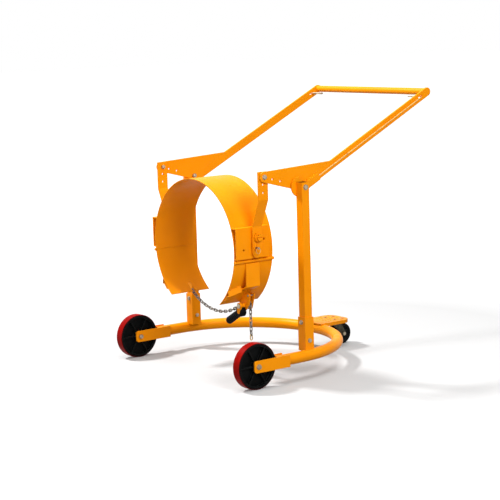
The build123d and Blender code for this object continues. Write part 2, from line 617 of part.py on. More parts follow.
save("near_strap", strap - lock_hole)
save("far_strap", far(strap))
strap_bush = rod_x(BUSH_OUT, STRAP_LOW_IN, STRAP_LOW_OUT, TIP_Y, TRUNNION_Z)
strap_bush -= rod_x(TRUNNION_R + RUN_FIT, STRAP_LOW_IN, STRAP_LOW_OUT, TIP_Y, TRUNNION_Z)
save("strap_bushes", *pair(strap_bush))

# Tilt lock: barrel on the near strap, sliding pin and pull ring
barrel_end = STRAP_LOW_OUT + BARREL_L
save("lock_barrel", rod_x(BARREL_R, STRAP_LOW_OUT, barrel_end, LOCK_Y, LOCK_Z) - lock_hole)
ring_x = barrel_end + LOCK_TRAVEL + 2 * RING_WIRE_R
pin_end = ring_x + 2 * RING_WIRE_R + SIDE_FIT
lock_pin = rod_x(LOCK_PIN_R, STRAP_LOW_IN + SIDE_FIT, pin_end, LOCK_Y, LOCK_Z)
ring_hole_r = RING_WIRE_R + RING_R - sqrt(RING_R**2 - LOCK_PIN_R**2) + SEAT_GAP
lock_pin -= rod_y(ring_hole_r, LOCK_Y - 2 * LOCK_PIN_R, LOCK_Y + 2 * LOCK_PIN_R, ring_x, LOCK_Z)
save("lock_pin", lock_pin)
save("pull_ring", Pos(ring_x, LOCK_Y, LOCK_Z - RING_R) * Rot(0, 90, 0) * Torus(RING_R, RING_WIRE_R))


# Saddle: rolled band, hinge knuckles and side pads
def sector(r0, r1, fall0, fall1):
    """Part of a ring about the drum's middle, between two falls below level on the +X side."""
    inner = CenterArc((0, 0), r0, -fall0, fall0 - fall1)
    outer = CenterArc((0, 0), r1, -fall0, fall0 - fall1)
    ends = [Line(inner @ 0, outer @ 0), Line(inner @ 1, outer @ 1)]
    return Pos(0, SADDLE_Z) * make_face([inner, outer, *ends])


HINGE_R = SHELL_R + HINGE_STAND
HINGE_X, HINGE_Z = on_drum(HINGE_R, HINGE_ANGLE)
knuckle_long = SADDLE_W / KNUCKLE_COUNT


def knuckles(radius, first, spare):
    """Every second hinge knuckle, each shorter than its share of the width by the spare length."""
    made = []
    for index in range(first, KNUCKLE_COUNT, 2):
        y0 = SADDLE_FRONT + index * knuckle_long
        made.append(rod_y(radius, y0 + spare / 2, y0 + knuckle_long - spare / 2, HINGE_X, HINGE_Z))
    return made


hinge_bore = rod_y(HINGE_ROD_R + RUN_FIT, SADDLE_FRONT, SADDLE_REAR, HINGE_X, HINGE_Z)
band = plate_y(sector(DRUM_R, SHELL_R, HINGE_ANGLE, -180 - HINGE_ANGLE), SADDLE_FRONT, SADDLE_REAR)
for knuckle in knuckles(KNUCKLE_R, 0, SIDE_FIT):
    for side in pair(knuckle):
        band += side
for clearance in knuckles(KNUCKLE_R + SIDE_FIT, 1, 0):
    for side in pair(clearance):
        band -= side
for side in pair(hinge_bore):
    band -= side
save("saddle_band", band)

hinge_rod = rod_y(HINGE_ROD_R, SADDLE_FRONT, SADDLE_REAR, HINGE_X, HINGE_Z)
for end, step_y in ((SADDLE_FRONT, -HINGE_ROD_PROUD), (SADDLE_REAR, HINGE_ROD_PROUD)):
    hinge_rod += rod_y(KNUCKLE_R - SIDE_FIT, end, end + step_y, HINGE_X, HINGE_Z)
save("hinge_rods", *pair(hinge_rod))

pad_front = SADDLE_FRONT
pad_rear = SADDLE_REAR - PAD_REAR_INSET
drum_side = rod_y(SHELL_R, SADDLE_FRONT, SADDLE_REAR, 0, SADDLE_Z)
pad = block(0, PAD_X, pad_front, pad_rear, PAD_BOTTOM, PAD_TOP)
pad -= block(0, PAD_X - PAD_T, pad_front, pad_rear, PAD_BOTTOM + PAD_T, PAD_TOP - PAD_T)
pad -= drum_side
pad -= rod_x(TRUNNION_R + RUN_FIT, DRUM_R, PAD_X, TIP_Y, TRUNNION_Z)
pad -= rod_x(PAD_HOLE_R, PAD_X - 2 * PAD_T, PAD_X, TIP_Y - PAD_HOLE_AHEAD, TRUNNION_Z - PAD_HOLE_DROP)
far_pad = far(pad)
for quarter in (0, 90):
    pad -= Pos(0, TIP_Y, TRUNNION_Z) * Rot(quarter, 0, 0) * Pos(0, -TIP_Y, -TRUNNION_Z) * lock_hole
save("side_pads", pad, far_pad)

trunnion_end = STRAP_LOW_OUT + SIDE_FIT + CLIP_T + TRUNNION_PROUD
trunnion = rod_x(TRUNNION_R, PAD_X - PAD_T, trunnion_end, TIP_Y, TRUNNION_Z)
trunnion += rod_x(TRUNNION_COLLAR_R, PAD_X, PAD_X + TRUNNION_COLLAR_T, TIP_Y, TRUNNION_Z)
trunnion -= block(trunnion_end - TRUNNION_SLOT, trunnion_end, TIP_Y - 2 * TRUNNION_R, TIP_Y + 2 * TRUNNION_R,
                  TRUNNION_Z - TRUNNION_SLOT / 2, TRUNNION_Z + TRUNNION_SLOT / 2)
save("trunnions", *pair(trunnion))
clip_in = STRAP_LOW_OUT + SIDE_FIT
clip = rod_x(CLIP_R, clip_in, clip_in + CLIP_T, TIP_Y, TRUNNION_Z)
save("trunnion_clips", *pair(clip - rod_x(TRUNNION_R, clip_in, clip_in + CLIP_T, TIP_Y, TRUNNION_Z)))

# Jaws: shell with its knuckles, stiffening strip and folded bracket
CHAIN_Y = TIP_Y + CHAIN_BEHIND
link_half_w = BOW_R + WIRE_R
notch_half = link_half_w + 2 * SIDE_FIT
wheel_half = link_half_w + SIDE_FIT
cheek_half = wheel_half + SIDE_FIT
ratchet_front = CHAIN_Y - wheel_half - RATCHET_T
front_cheek = ratchet_front - SIDE_FIT - CHEEK_T
rear_cheek = CHAIN_Y + cheek_half
lever_rear = front_cheek - LEVER_GAP
lever_front = lever_rear - LEVER_T
lever_y = lever_front + LEVER_PROUD + GRIP_R
EDGE_GAP = degrees(SIDE_FIT / DRUM_R)
jaw = plate_y(sector(DRUM_R, SHELL_R, HINGE_ANGLE + EDGE_GAP, JAW_END_ANGLE), SADDLE_FRONT, SADDLE_REAR)
for knuckle in knuckles(KNUCKLE_R, 1, SIDE_FIT):
    jaw += knuckle
for clearance in knuckles(KNUCKLE_R + SIDE_FIT, 0, 0):
    jaw -= clearance
jaw -= hinge_bore
chain_notch = sector(DRUM_R / 2, 2 * DRUM_R, NOTCH_ANGLE, 2 * JAW_END_ANGLE)
jaw -= plate_y(chain_notch, CHAIN_Y - notch_half, CHAIN_Y + notch_half)
save("near_jaw_shell", jaw)
save("far_jaw_shell", far(jaw))


def sheet(points, thickness):
    """Bent sheet through (x, z) points, its thickness on the drum side."""
    inner = []
    for x, z in points:
        share = 1 - thickness / hypot(x, z - SADDLE_Z)
        inner.append((x * share, SADDLE_Z + (z - SADDLE_Z) * share))
    return Polygon(*points, *reversed(inner), align=None)


strip_y = TIP_Y - STRIP_AHEAD
strip_top = on_drum(SHELL_R, STRIP_TOP_ANGLE)[1]
strip_in = sqrt(SHELL_R**2 - (SADDLE_Z - strip_top + STRIP_SEAT) ** 2)
strip_out = strip_in + STRIP_T
strip_foot = strip_top - STRIP_FLAT
return_end = on_drum(DRUM_R, STRIP_END_ANGLE)
strip_profile = Polygon((strip_in, strip_top), (strip_out, strip_top), (strip_out, strip_foot),
                        (return_end[0], return_end[1] - STRIP_T), return_end, (strip_in, strip_foot + STRIP_T),
                        align=None)
strip = plate_y(strip_profile, strip_y, strip_y + STRIP_W) - drum_side
save("near_jaw_strip", strip)
save("far_jaw_strip", far(strip))

bracket_points = [on_drum(SHELL_R, BRACKET_TOP_ANGLE), on_drum(SHELL_R + BRACKET_RIDGE, BRACKET_RIDGE_ANGLE),
                  on_drum(SHELL_R + BRACKET_BAND, BRACKET_FOLD_ANGLE),
                  on_drum(SHELL_R + BRACKET_BAND, BRACKET_END_ANGLE - BRACKET_EDGE_ANGLE),
                  on_drum(SHELL_R, BRACKET_END_ANGLE)]
bracket_long = strip_y - SADDLE_FRONT
climb_x = BRACKET_CLIMB * sin(radians(BRACKET_RIDGE_ANGLE))
climb_z = BRACKET_CLIMB * cos(radians(BRACKET_RIDGE_ANGLE))
front_plane = Plane((0, SADDLE_FRONT, 0), x_dir=(1, 0, 0), z_dir=(0, -1, 0))
bracket = extrude(front_plane * sheet(bracket_points, BRACKET_T), hypot(bracket_long, BRACKET_CLIMB),
                  dir=(climb_x, bracket_long, climb_z))
bracket -= drum_side
save("near_jaw_bracket", bracket)
save("far_jaw_bracket", far(bracket))

# Ratchet: cheeks on the near jaw, shaft and pawl pin, chain wheel, pawl and lever
SHAFT_X, SHAFT_Z = on_drum(SHELL_R + SHAFT_OUT, SHAFT_ANGLE)
PAWL_X = SHAFT_X + PAWL_OUT
PAWL_Z = SHAFT_Z + PAWL_UP
seat = Line(on_drum(DRUM_R, CHEEK_SEAT_ANGLE), on_drum(DRUM_R, JAW_END_ANGLE))
cheek_outline = make_hull((Pos(SHAFT_X, SHAFT_Z) * Circle(CHEEK_R)).edges()
                          + (Pos(PAWL_X, PAWL_Z) * Circle(PAWL_R + PAWL_PIN_R)).edges() + seat.edges())
cheek_outline -= Pos(SHAFT_X, SHAFT_Z) * Circle(SHAFT_R + RUN_FIT)
cheek_outline -= Pos(PAWL_X, PAWL_Z) * Circle(PAWL_PIN_R + RUN_FIT)
cheeks = [plate_y(cheek_outline, y, y + CHEEK_T) - drum_side for y in (front_cheek, rear_cheek)]
save("ratchet_cheeks", *cheeks)

shaft_front = lever_front - SIDE_FIT
shaft_rear = rear_cheek + CHEEK_T + SIDE_FIT
shaft = rod_y(SHAFT_R, shaft_front, shaft_rear, SHAFT_X, SHAFT_Z)
shaft += rod_y(HEAD_R_RATIO * SHAFT_R, shaft_front - SHAFT_R / 2, shaft_front, SHAFT_X, SHAFT_Z)
shaft += rod_y(HEAD_R_RATIO * SHAFT_R, shaft_rear, shaft_rear + SHAFT_R / 2, SHAFT_X, SHAFT_Z)
pawl_pin = rod_y(PAWL_PIN_R, front_cheek, rear_cheek + CHEEK_T, PAWL_X, PAWL_Z)
for face, head_end in ((front_cheek, -PAWL_PIN_R), (rear_cheek + CHEEK_T, PAWL_PIN_R)):
    pawl_pin += rod_y(HEAD_R_RATIO * PAWL_PIN_R, face, face + head_end, PAWL_X, PAWL_Z)
save("ratchet_pins", shaft, pawl_pin)


def round_shaft(radius, degrees_up):
    angle = radians(degrees_up)
    return SHAFT_X + radius * cos(angle), SHAFT_Z + radius * sin(angle)


chain_wheel = rod_y(WHEEL_LAND_R, ratchet_front, CHAIN_Y + wheel_half, SHAFT_X, SHAFT_Z)
groove_half = WIRE_R + 2 * SIDE_FIT
groove = rod_y(WHEEL_LAND_R, CHAIN_Y - groove_half, CHAIN_Y + groove_half, SHAFT_X, SHAFT_Z)
groove -= rod_y(WHEEL_GROOVE_R, CHAIN_Y - groove_half, CHAIN_Y + groove_half, SHAFT_X, SHAFT_Z)
chain_wheel -= groove
tooth_points = []
for tooth in range(RATCHET_TEETH):
    tooth_angle = RATCHET_ANGLE + tooth * 360 / RATCHET_TEETH
    tooth_points.append(round_shaft(RATCHET_R, tooth_angle))
    tooth_points.append(round_shaft(RATCHET_ROOT_R, tooth_angle))
chain_wheel += plate_y(Polygon(*tooth_points, align=None), ratchet_front, ratchet_front + RATCHET_T)
chain_wheel -= rod_y(SHAFT_R + RUN_FIT, ratchet_front, CHAIN_Y + wheel_half, SHAFT_X, SHAFT_Z)
save("chain_wheel", chain_wheel)

knee = Pos(SHAFT_X + RATCHET_R + PAWL_KNEE_R, SHAFT_Z + PAWL_KNEE_R) * Circle(PAWL_KNEE_R)
pawl_outline = make_hull((Pos(PAWL_X, PAWL_Z) * Circle(PAWL_R)).edges() + knee.edges())
nose = [round_shaft(RATCHET_R + 2 * SIDE_FIT, PAWL_BACK_ANGLES[0]),
        round_shaft(RATCHET_ROOT_R + 3 * SIDE_FIT, PAWL_FACE_ANGLE),
        round_shaft(RATCHET_R + PAWL_KNEE_R, PAWL_FACE_ANGLE),
        round_shaft(RATCHET_R + 2 * PAWL_KNEE_R, PAWL_BACK_ANGLES[1])]
pawl_outline += Polygon(*nose, align=None)
pawl_outline -= Pos(PAWL_X, PAWL_Z) * Circle(PAWL_PIN_R + RUN_FIT)
save("pawl", plate_y(pawl_outline, ratchet_front, ratchet_front + RATCHET_T))

grip_x, grip_z = SHAFT_X + LEVER_OFFSET[0], SHAFT_Z + LEVER_OFFSET[1]
grip_way = (-cos(radians(GRIP_ANGLE)), 0, -sin(radians(GRIP_ANGLE)))
grip_plane = Plane((grip_x, lever_y, grip_z), x_dir=(0, 1, 0), z_dir=grip_way)
lever_outline = make_hull((Pos(SHAFT_X, SHAFT_Z) * Circle(LEVER_HUB_R)).edges()
                          + (Pos(grip_x, grip_z) * Circle(LEVER_NECK_R)).edges())
lever_arm = plate_y(lever_outline, lever_front, lever_rear)
lever_arm += rod_y(LEVER_SLEEVE_R, lever_rear, front_cheek - SIDE_FIT, SHAFT_X, SHAFT_Z)
lever_arm += rod_y(TANG_R, lever_rear, lever_y + TANG_R, grip_x, grip_z)
lever_arm += grip_plane * extrude(Circle(TANG_R), GRIP_L * 2 / 3)
lever_arm -= rod_y(SHAFT_R + RUN_FIT, lever_front, front_cheek, SHAFT_X, SHAFT_Z)
save("lever_arm", lever_arm)
grip = extrude(Circle(GRIP_R), GRIP_L)
grip = fillet(grip.faces().sort_by(Axis.Z)[-1].edges(), GRIP_ROUND)
boss_half = GRIP_R + SIDE_FIT
grip = grip_plane * grip + rod_y(GRIP_BOSS_R, lever_y - boss_half, lever_y + boss_half, grip_x, grip_z)
save("lever_grip", grip - lever_arm)

# Chain: one link shape, set between joints a pitch apart along its path
PITCH = 2 * LINK_HALF + BOW_R
CHAIN_R = DRUM_R + link_half_w + SEAT_GAP / 2


def loop(radius):
    """Link outline of one size with its round ends drawn as flats."""
    points = []
    for middle, start in ((LINK_HALF, -90), (-LINK_HALF, 90)):
        for index in range(BOW_SIDES + 1):
            angle = radians(start + index * 180 / BOW_SIDES)
            points.append((middle + radius * cos(angle), radius * sin(angle)))
    return Polygon(*points, align=None)


flat_link = extrude(loop(BOW_R + WIRE_R) - loop(BOW_R - WIRE_R), WIRE_R, both=True)
faces = flat_link.faces().filter_by(Axis.Z)
link_shape = chamfer(faces.edges(), WIRE_CHAMFER)

reach = hypot(SHAFT_X, SADDLE_Z - SHAFT_Z)
to_drum = degrees(atan2(SADDLE_Z - SHAFT_Z, -SHAFT_X))
leave = to_drum - degrees(acos((CHAIN_R + WHEEL_PITCH_R) / reach))
wrap_end = TAIL_DROP + radians(leave) * WHEEL_PITCH_R
straight_long = sqrt(reach**2 - (CHAIN_R + WHEEL_PITCH_R) ** 2)
leave_x, leave_z = round_shaft(WHEEL_PITCH_R, leave)
run_x, run_z = -sin(radians(leave)), cos(radians(leave))


def chain_point(length):
    """Point (x, z) on the chain's path, measured from the last pulled joint."""
    if length < TAIL_DROP:
        return SHAFT_X + WHEEL_PITCH_R, SHAFT_Z - TAIL_DROP + length
    if length < wrap_end:
        return round_shaft(WHEEL_PITCH_R, degrees((length - TAIL_DROP) / WHEEL_PITCH_R))
    if length < wrap_end + straight_long:
        past = length - wrap_end
        return leave_x + run_x * past, leave_z + run_z * past
    turn = leave + 180 - degrees((length - wrap_end - straight_long) / CHAIN_R)
    return CHAIN_R * cos(radians(turn)), SADDLE_Z + CHAIN_R * sin(radians(turn))


def chain_link(start, end, standing):
    """Link between two (x, z) joints, edge-on to X when standing and turned a quarter otherwise."""
    middle = ((start[0] + end[0]) / 2, CHAIN_Y, (start[1] + end[1]) / 2)
    way = (end[0] - start[0], 0, end[1] - start[1])
    side = (0, 1, 0) if standing else (-way[2], 0, way[0])
    return Plane(middle, x_dir=way, z_dir=side) * link_shape


def pulled_link(index):
    start = chain_point((index - 1) * PITCH)
    return chain_link(start, chain_point(index * PITCH), index % 2 == 1)


save("wrap_links", *[pulled_link(index) for index in range(1, WRAP_LINKS + 1)])
save("tension_chain", *[pulled_link(index) for index in range(WRAP_LINKS + 2, CHAIN_LINKS + 1)])
tail_x, tail_z = chain_point(0)
tail_joints = [(tail_x, tail_z - index * PITCH) for index in range(TAIL_LINKS + 1)]
save("tail_chain", *[chain_link(tail_joints[index], tail_joints[index + 1], index % 2 == 1)
                     for index in range(TAIL_LINKS)])

# Chain anchor on the far jaw
last_start = chain_point((CHAIN_LINKS - 1) * PITCH)
last_end = chain_point(CHAIN_LINKS * PITCH)
past_middle = 0.5 + LINK_HALF / hypot(last_end[0] - last_start[0], last_end[1] - last_start[1])
anchor_x = last_start[0] + (last_end[0] - last_start[0]) * past_middle
anchor_z = last_start[1] + (last_end[1] - last_start[1]) * past_middle
lug_in = notch_half + SIDE_FIT
lug_out = lug_in + ANCHOR_T
anchor_fall = degrees(atan2(SADDLE_Z - anchor_z, -anchor_x))
lug_seat = [on_drum(DRUM_R, anchor_fall + side * ANCHOR_SEAT_ANGLE) for side in (-1, 1)]
lug_foot = Line((-lug_seat[0][0], lug_seat[0][1]), (-lug_seat[1][0], lug_seat[1][1]))
lug_outline = make_hull((Pos(anchor_x, anchor_z) * Circle(ANCHOR_R)).edges() + lug_foot.edges())
anchor = rod_y(ANCHOR_PIN_R, CHAIN_Y - lug_out, CHAIN_Y + lug_out, anchor_x, anchor_z)
for y0, y1 in ((CHAIN_Y - lug_out, CHAIN_Y - lug_in), (CHAIN_Y + lug_in, CHAIN_Y + lug_out)):
    anchor += plate_y(lug_outline, y0, y1) - drum_side
save("chain_anchor", anchor)
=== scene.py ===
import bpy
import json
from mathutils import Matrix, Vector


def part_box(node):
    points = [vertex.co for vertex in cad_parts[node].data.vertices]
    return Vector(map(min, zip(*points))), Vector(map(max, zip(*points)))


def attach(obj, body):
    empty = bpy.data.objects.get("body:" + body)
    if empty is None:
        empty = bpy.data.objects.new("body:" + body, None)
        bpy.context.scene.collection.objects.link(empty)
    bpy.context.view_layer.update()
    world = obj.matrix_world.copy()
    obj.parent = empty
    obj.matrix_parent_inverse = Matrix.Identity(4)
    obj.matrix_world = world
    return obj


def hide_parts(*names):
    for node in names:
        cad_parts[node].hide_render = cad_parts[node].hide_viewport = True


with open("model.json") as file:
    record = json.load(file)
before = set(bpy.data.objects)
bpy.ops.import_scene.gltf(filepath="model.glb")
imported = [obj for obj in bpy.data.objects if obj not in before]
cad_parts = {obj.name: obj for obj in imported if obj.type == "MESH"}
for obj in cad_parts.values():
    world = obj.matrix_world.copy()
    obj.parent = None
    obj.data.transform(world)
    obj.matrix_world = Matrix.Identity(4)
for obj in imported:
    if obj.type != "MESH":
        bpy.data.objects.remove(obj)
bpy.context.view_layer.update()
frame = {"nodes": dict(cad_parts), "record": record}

import json
from math import acos, asin, atan2, cos, hypot, pi, radians, sin, sqrt

import bmesh
import bpy
from mathutils import Matrix, Vector

NODES = frame["nodes"]
MM = 0.001

# Main places of the carrier, in millimetres, as in the part's source
AXLE_Y = -480.25
ARC_Y = AXLE_Y + 243.0
PIVOT_Y = AXLE_Y + 296.0
PIVOT_Z = 797.0
TIP_Y = AXLE_Y + 122.0
TIP_Z = 850.0
BAR_Y = AXLE_Y + 1038.0
BAR_Z = 1150.0
BAR_R = 15.0
ARM_DROP = 15.0
TRACK_X = 433.0
TUBE_R = 24.15
TUBE_WALL = 3.2
TUBE_Z = 96.0
WHEEL_R = 96.0
FORK_HALF = 29.55
FORK_OUT = TRACK_X + FORK_HALF
FORK_REAR = AXLE_Y + 163.0
UPRIGHT_X = 405.0
UPRIGHT_HALF = 19.0
UPRIGHT_WALL = 3.0
SOCKET_HALF = 23.0
SIDE_IN = 367.5
SIDE_OUT = 375.5
SLEEVE_START = 34.0
SLEEVE_HALF = 15.0
DRUM_R = 286.0
SHELL_R = 289.0
SADDLE_Z = 540.0
SADDLE_FRONT = TIP_Y - 100.0
PAD_TOP = 642.0
PAD_BOTTOM = 511.0
STRIP_FRONT = TIP_Y - 41.0
CHAIN_Y = TIP_Y + 19.0
STEP_TOP = 124.55
CASTER_Y = AXLE_Y + 792.0

# Settings of the materials, with depths in metres
BEVEL_SAMPLES = 6
CUT_END_DEEP = 0.0004
TYRE_SIDE_DEEP = 0.0006
SMOOTHER = 0.08
ROUGHER = 0.14
BRIGHTER = 1.12
LEAST_SOIL_AND_SHADE = 0.35


# Materials
def shader(name, colour, roughness, metallic=0.0, coat=0.0, gloss=0.5):
    """A material with its Principled shader's fixed values set on the shader's own sockets."""
    mat = bpy.data.materials.new(name)
    mat.use_nodes = True
    tree = mat.node_tree
    bsdf = tree.nodes["Principled BSDF"]
    bsdf.inputs["Base Color"].default_value = (*colour, 1)
    bsdf.inputs["Roughness"].default_value = roughness
    bsdf.inputs["Metallic"].default_value = metallic
    bsdf.inputs["Coat Weight"].default_value = coat
    bsdf.inputs["Specular IOR Level"].default_value = gloss
    return mat, tree, bsdf


def add(tree, kind, **values):
    """A node with its inputs or settings given by name."""
    node = tree.nodes.new(kind)
    for key, value in values.items():
        if key in node.inputs:
            node.inputs[key].default_value = value
        else:
            setattr(node, key, value)
    return node


def noise(tree, scale, detail=3.0, stretch=(1, 1, 1), rough=0.55):
    """Noise in the object's own space, in metres, with an optional stretch per axis."""
    place = add(tree, "ShaderNodeTexCoord")
    mapping = add(tree, "ShaderNodeMapping")
    mapping.inputs["Scale"].default_value = stretch
    made = add(tree, "ShaderNodeTexNoise", Scale=scale, Detail=detail, Roughness=rough)
    tree.links.new(place.outputs["Object"], mapping.inputs["Vector"])
    tree.links.new(mapping.outputs["Vector"], made.inputs["Vector"])
    return made.outputs["Fac"]


def ramp(tree, source, stops):
    """Colour ramp through (position, colour) stops."""
    made = add(tree, "ShaderNodeValToRGB")
    band = made.color_ramp
    while len(band.elements) < len(stops):
        band.elements.new(0.5)
    for element, (position, colour) in zip(band.elements, stops):
        element.position = position
        element.color = (*colour, 1)
    tree.links.new(source, made.inputs["Fac"])
    return made.outputs["Color"]


def spread(tree, source, low, high, start=0.3, end=0.7):
    """A number that runs from low to high as the source runs from start to end."""
    made = add(tree, "ShaderNodeMapRange")
    made.inputs["From Min"].default_value = start
    made.inputs["From Max"].default_value = end
    made.inputs["To Min"].default_value = low
    made.inputs["To Max"].default_value = high
    tree.links.new(source, made.inputs["Value"])
    return made.outputs["Result"]


def uneven(tree, source, roughness):
    """A roughness that wanders about its middle value."""
    return spread(tree, source, low=roughness - SMOOTHER, high=roughness + ROUGHER)


def relief(tree, bsdf, layers, edge):
    """Bump from (source, strength, distance) layers, over edges rounded by a small radius."""
    rounded = add(tree, "ShaderNodeBevel", samples=BEVEL_SAMPLES)
    rounded.inputs["Radius"].default_value = edge
    normal = rounded.outputs["Normal"]
    for source, strength, distance in layers:
        bump = add(tree, "ShaderNodeBump")
        bump.inputs["Strength"].default_value = strength
        bump.inputs["Distance"].default_value = distance
        tree.links.new(source, bump.inputs["Height"])
        tree.links.new(normal, bump.inputs["Normal"])
        normal = bump.outputs["Normal"]
    tree.links.new(normal, bsdf.inputs["Normal"])


def mix_colour(tree, amount, first, second):
    """Mix of two colours, each a socket or plain numbers."""
    made = add(tree, "ShaderNodeMix", data_type="RGBA")
    tree.links.new(amount, made.inputs["Factor"])
    colours = [socket for socket in made.inputs if socket.type == "RGBA"]
    for socket, value in zip(colours, (first, second)):
        if isinstance(value, tuple):
            socket.default_value = (*value, 1)
        else:
            tree.links.new(value, socket)
    return [socket for socket in made.outputs if socket.type == "RGBA"][0]


def figure(tree, operation, first, second=None):
    """One step of arithmetic on sockets and numbers."""
    made = add(tree, "ShaderNodeMath", operation=operation)
    for socket, value in zip(made.inputs, (first, second)):
        if isinstance(value, (int, float)):
            socket.default_value = value
        elif value is not None:
            tree.links.new(value, socket)
    return made.outputs[0]


def own_axes(tree):
    """The object's own X, Y and Z, in metres, with X counted from the middle to either side."""
    place = add(tree, "ShaderNodeTexCoord")
    split = add(tree, "ShaderNodeSeparateXYZ")
    tree.links.new(place.outputs["Object"], split.inputs[0])
    return figure(tree, "ABSOLUTE", split.outputs[0]), split.outputs[1], split.outputs[2]


def away(tree, axis, middle):
    """Distance along an axis from a middle, to either side."""
    return figure(tree, "ABSOLUTE", figure(tree, "SUBTRACT", axis, middle))


def painted_shade_upright(tree):
    """1 on the inner walls and the top ends of the square tubes, which get a painted shade."""
    x, y, z = own_axes(tree)
    off_x = away(tree, x, UPRIGHT_X * MM)
    off_y = away(tree, y, PIVOT_Y * MM)
    wall = UPRIGHT_HALF - UPRIGHT_WALL / 2
    within = figure(tree, "LESS_THAN", figure(tree, "MAXIMUM", off_x, off_y), wall * MM)
    top_end = figure(tree, "GREATER_THAN", z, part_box("uprights")[1][2] - CUT_END_DEEP)
    return figure(tree, "MAXIMUM", within, top_end)


def painted_shade_base(tree):
    """1 on the inner wall of the base tube's straight legs, which gets a painted shade."""
    x, y, z = own_axes(tree)
    square_x = figure(tree, "POWER", away(tree, x, TRACK_X * MM), 2.0)
    square_z = figure(tree, "POWER", away(tree, z, TUBE_Z * MM), 2.0)
    off = figure(tree, "SQRT", figure(tree, "ADD", square_x, square_z))
    within = figure(tree, "LESS_THAN", off, (TUBE_R - TUBE_WALL / 2) * MM)
    return figure(tree, "MULTIPLY", within, figure(tree, "LESS_THAN", y, ARC_Y * MM))


def tyre_sides(tree):
    """1 on the flat sides of the front wheels' tyres."""
    low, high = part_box("near_wheel_tread")
    middle = (low[0] + high[0]) / 2
    half = (high[0] - low[0]) / 2
    off = away(tree, own_axes(tree)[0], middle)
    return figure(tree, "GREATER_THAN", off, half - TYRE_SIDE_DEEP)


def edge_mask(tree, radius):
    """Rises from 0 to 1 towards a piece's outer edges, over a small radius."""
    rounded = add(tree, "ShaderNodeBevel", samples=BEVEL_SAMPLES)
    rounded.inputs["Radius"].default_value = radius
    shape = add(tree, "ShaderNodeNewGeometry")
    dot = add(tree, "ShaderNodeVectorMath", operation="DOT_PRODUCT")
    tree.links.new(rounded.outputs["Normal"], dot.inputs[0])
    tree.links.new(shape.outputs["True Normal"], dot.inputs[1])
    return spread(tree, dot.outputs["Value"], low=1.0, high=0.0, start=0.72, end=0.99)


PAINT = (0.90, 0.290, 0.0020)
PAINT_LIGHT = (0.93, 0.310, 0.0030)
PAINT_DEEP = (0.86, 0.265, 0.0015)
PAINT_WORN = (0.96, 0.40, 0.030)
PAINT_SCUFF = (0.58, 0.165, 0.008)
# Dark brown for a painted shade inside the tubes and on the uprights' top ends
PAINTED_SHADE_INSIDE = (0.15, 0.040, 0.006)
# Dirt colour, also standing for a painted shade on the step
SHOE_DIRT_AND_SHADE = (0.17, 0.065, 0.014)


def make_paint(name, hollow=None, wear=0.22, soil_and_shade=0.0):
    """Orange powder coat: cloudy tone, fine skin, faint scuffs, rubbed edges, dirt from shoes mixed with
    painted shade, and painted shade inside hollows.
    """
    mat, tree, bsdf = shader(name, PAINT, roughness=0.34, coat=0.03, gloss=0.05)
    bsdf.inputs["Coat Roughness"].default_value = 0.16
    cloud = noise(tree, scale=5.0, detail=4.0)
    tone = ramp(tree, cloud, [(0.30, PAINT_DEEP), (0.52, PAINT), (0.74, PAINT_LIGHT)])
    scuff = noise(tree, scale=46.0, detail=6.0, stretch=(1.0, 0.35, 0.35), rough=0.72)
    scuffing = spread(tree, scuff, low=0.0, high=wear, start=0.70, end=0.84)
    scuffed = mix_colour(tree, scuffing, tone, PAINT_SCUFF)
    patches = spread(tree, noise(tree, scale=30.0, detail=5.0), low=0.05, high=0.65)
    rubbed = figure(tree, "MULTIPLY", edge_mask(tree, radius=0.0016), patches)
    colour = mix_colour(tree, rubbed, scuffed, PAINT_WORN)
    # Dirt from shoes, partly a painted shade that darkens the step
    if soil_and_shade:
        grit = noise(tree, scale=38.0, detail=6.0, rough=0.7)
        dirt_and_shade = spread(tree, grit, low=soil_and_shade * LEAST_SOIL_AND_SHADE, high=soil_and_shade, start=0.36, end=0.62)
        colour = mix_colour(tree, dirt_and_shade, colour, SHOE_DIRT_AND_SHADE)
    # Painted shade on the inner walls of a hollow
    if hollow:
        colour = mix_colour(tree, hollow(tree), colour, PAINTED_SHADE_INSIDE)
    tree.links.new(colour, bsdf.inputs["Base Color"])
    dull = spread(tree, noise(tree, scale=22.0, detail=5.0), low=0.27, high=0.44)
    tree.links.new(dull, bsdf.inputs["Roughness"])
    skin = (noise(tree, scale=420.0, detail=2.0), 0.05, 0.0006)
    waves = (noise(tree, scale=60.0, detail=3.0), 0.04, 0.001)
    relief(tree, bsdf, [skin, waves], edge=0.0018)
    return mat


def make_metal(name, colour, stain, roughness, metallic=1.0):
    """Bare or plated metal: a cloudy tint, fine drawn lines and dull streaks along them."""
    mat, tree, bsdf = shader(name, colour, roughness, metallic)
    bright = tuple(min(1, c * BRIGHTER) for c in colour)
    cloud = noise(tree, scale=34.0, detail=5.0)
    tint = ramp(tree, cloud, [(0.32, stain), (0.55, colour), (0.78, bright)])
    tree.links.new(tint, bsdf.inputs["Base Color"])
    lines = noise(tree, scale=90.0, detail=3.0, stretch=(1.0, 9.0, 9.0))
    tree.links.new(uneven(tree, lines, roughness), bsdf.inputs["Roughness"])
    relief(tree, bsdf, [(lines, 0.12, 0.0004)], edge=0.0007)
    return mat


BLACK = (0.0025, 0.003, 0.003)
BLACK_DEEP = (0.0014, 0.0018, 0.0018)
BLACK_BLOOM = (0.004, 0.0045, 0.0045)
BLACK_RUBBED_AND_HIGHLIGHT = (0.050, 0.054, 0.052)


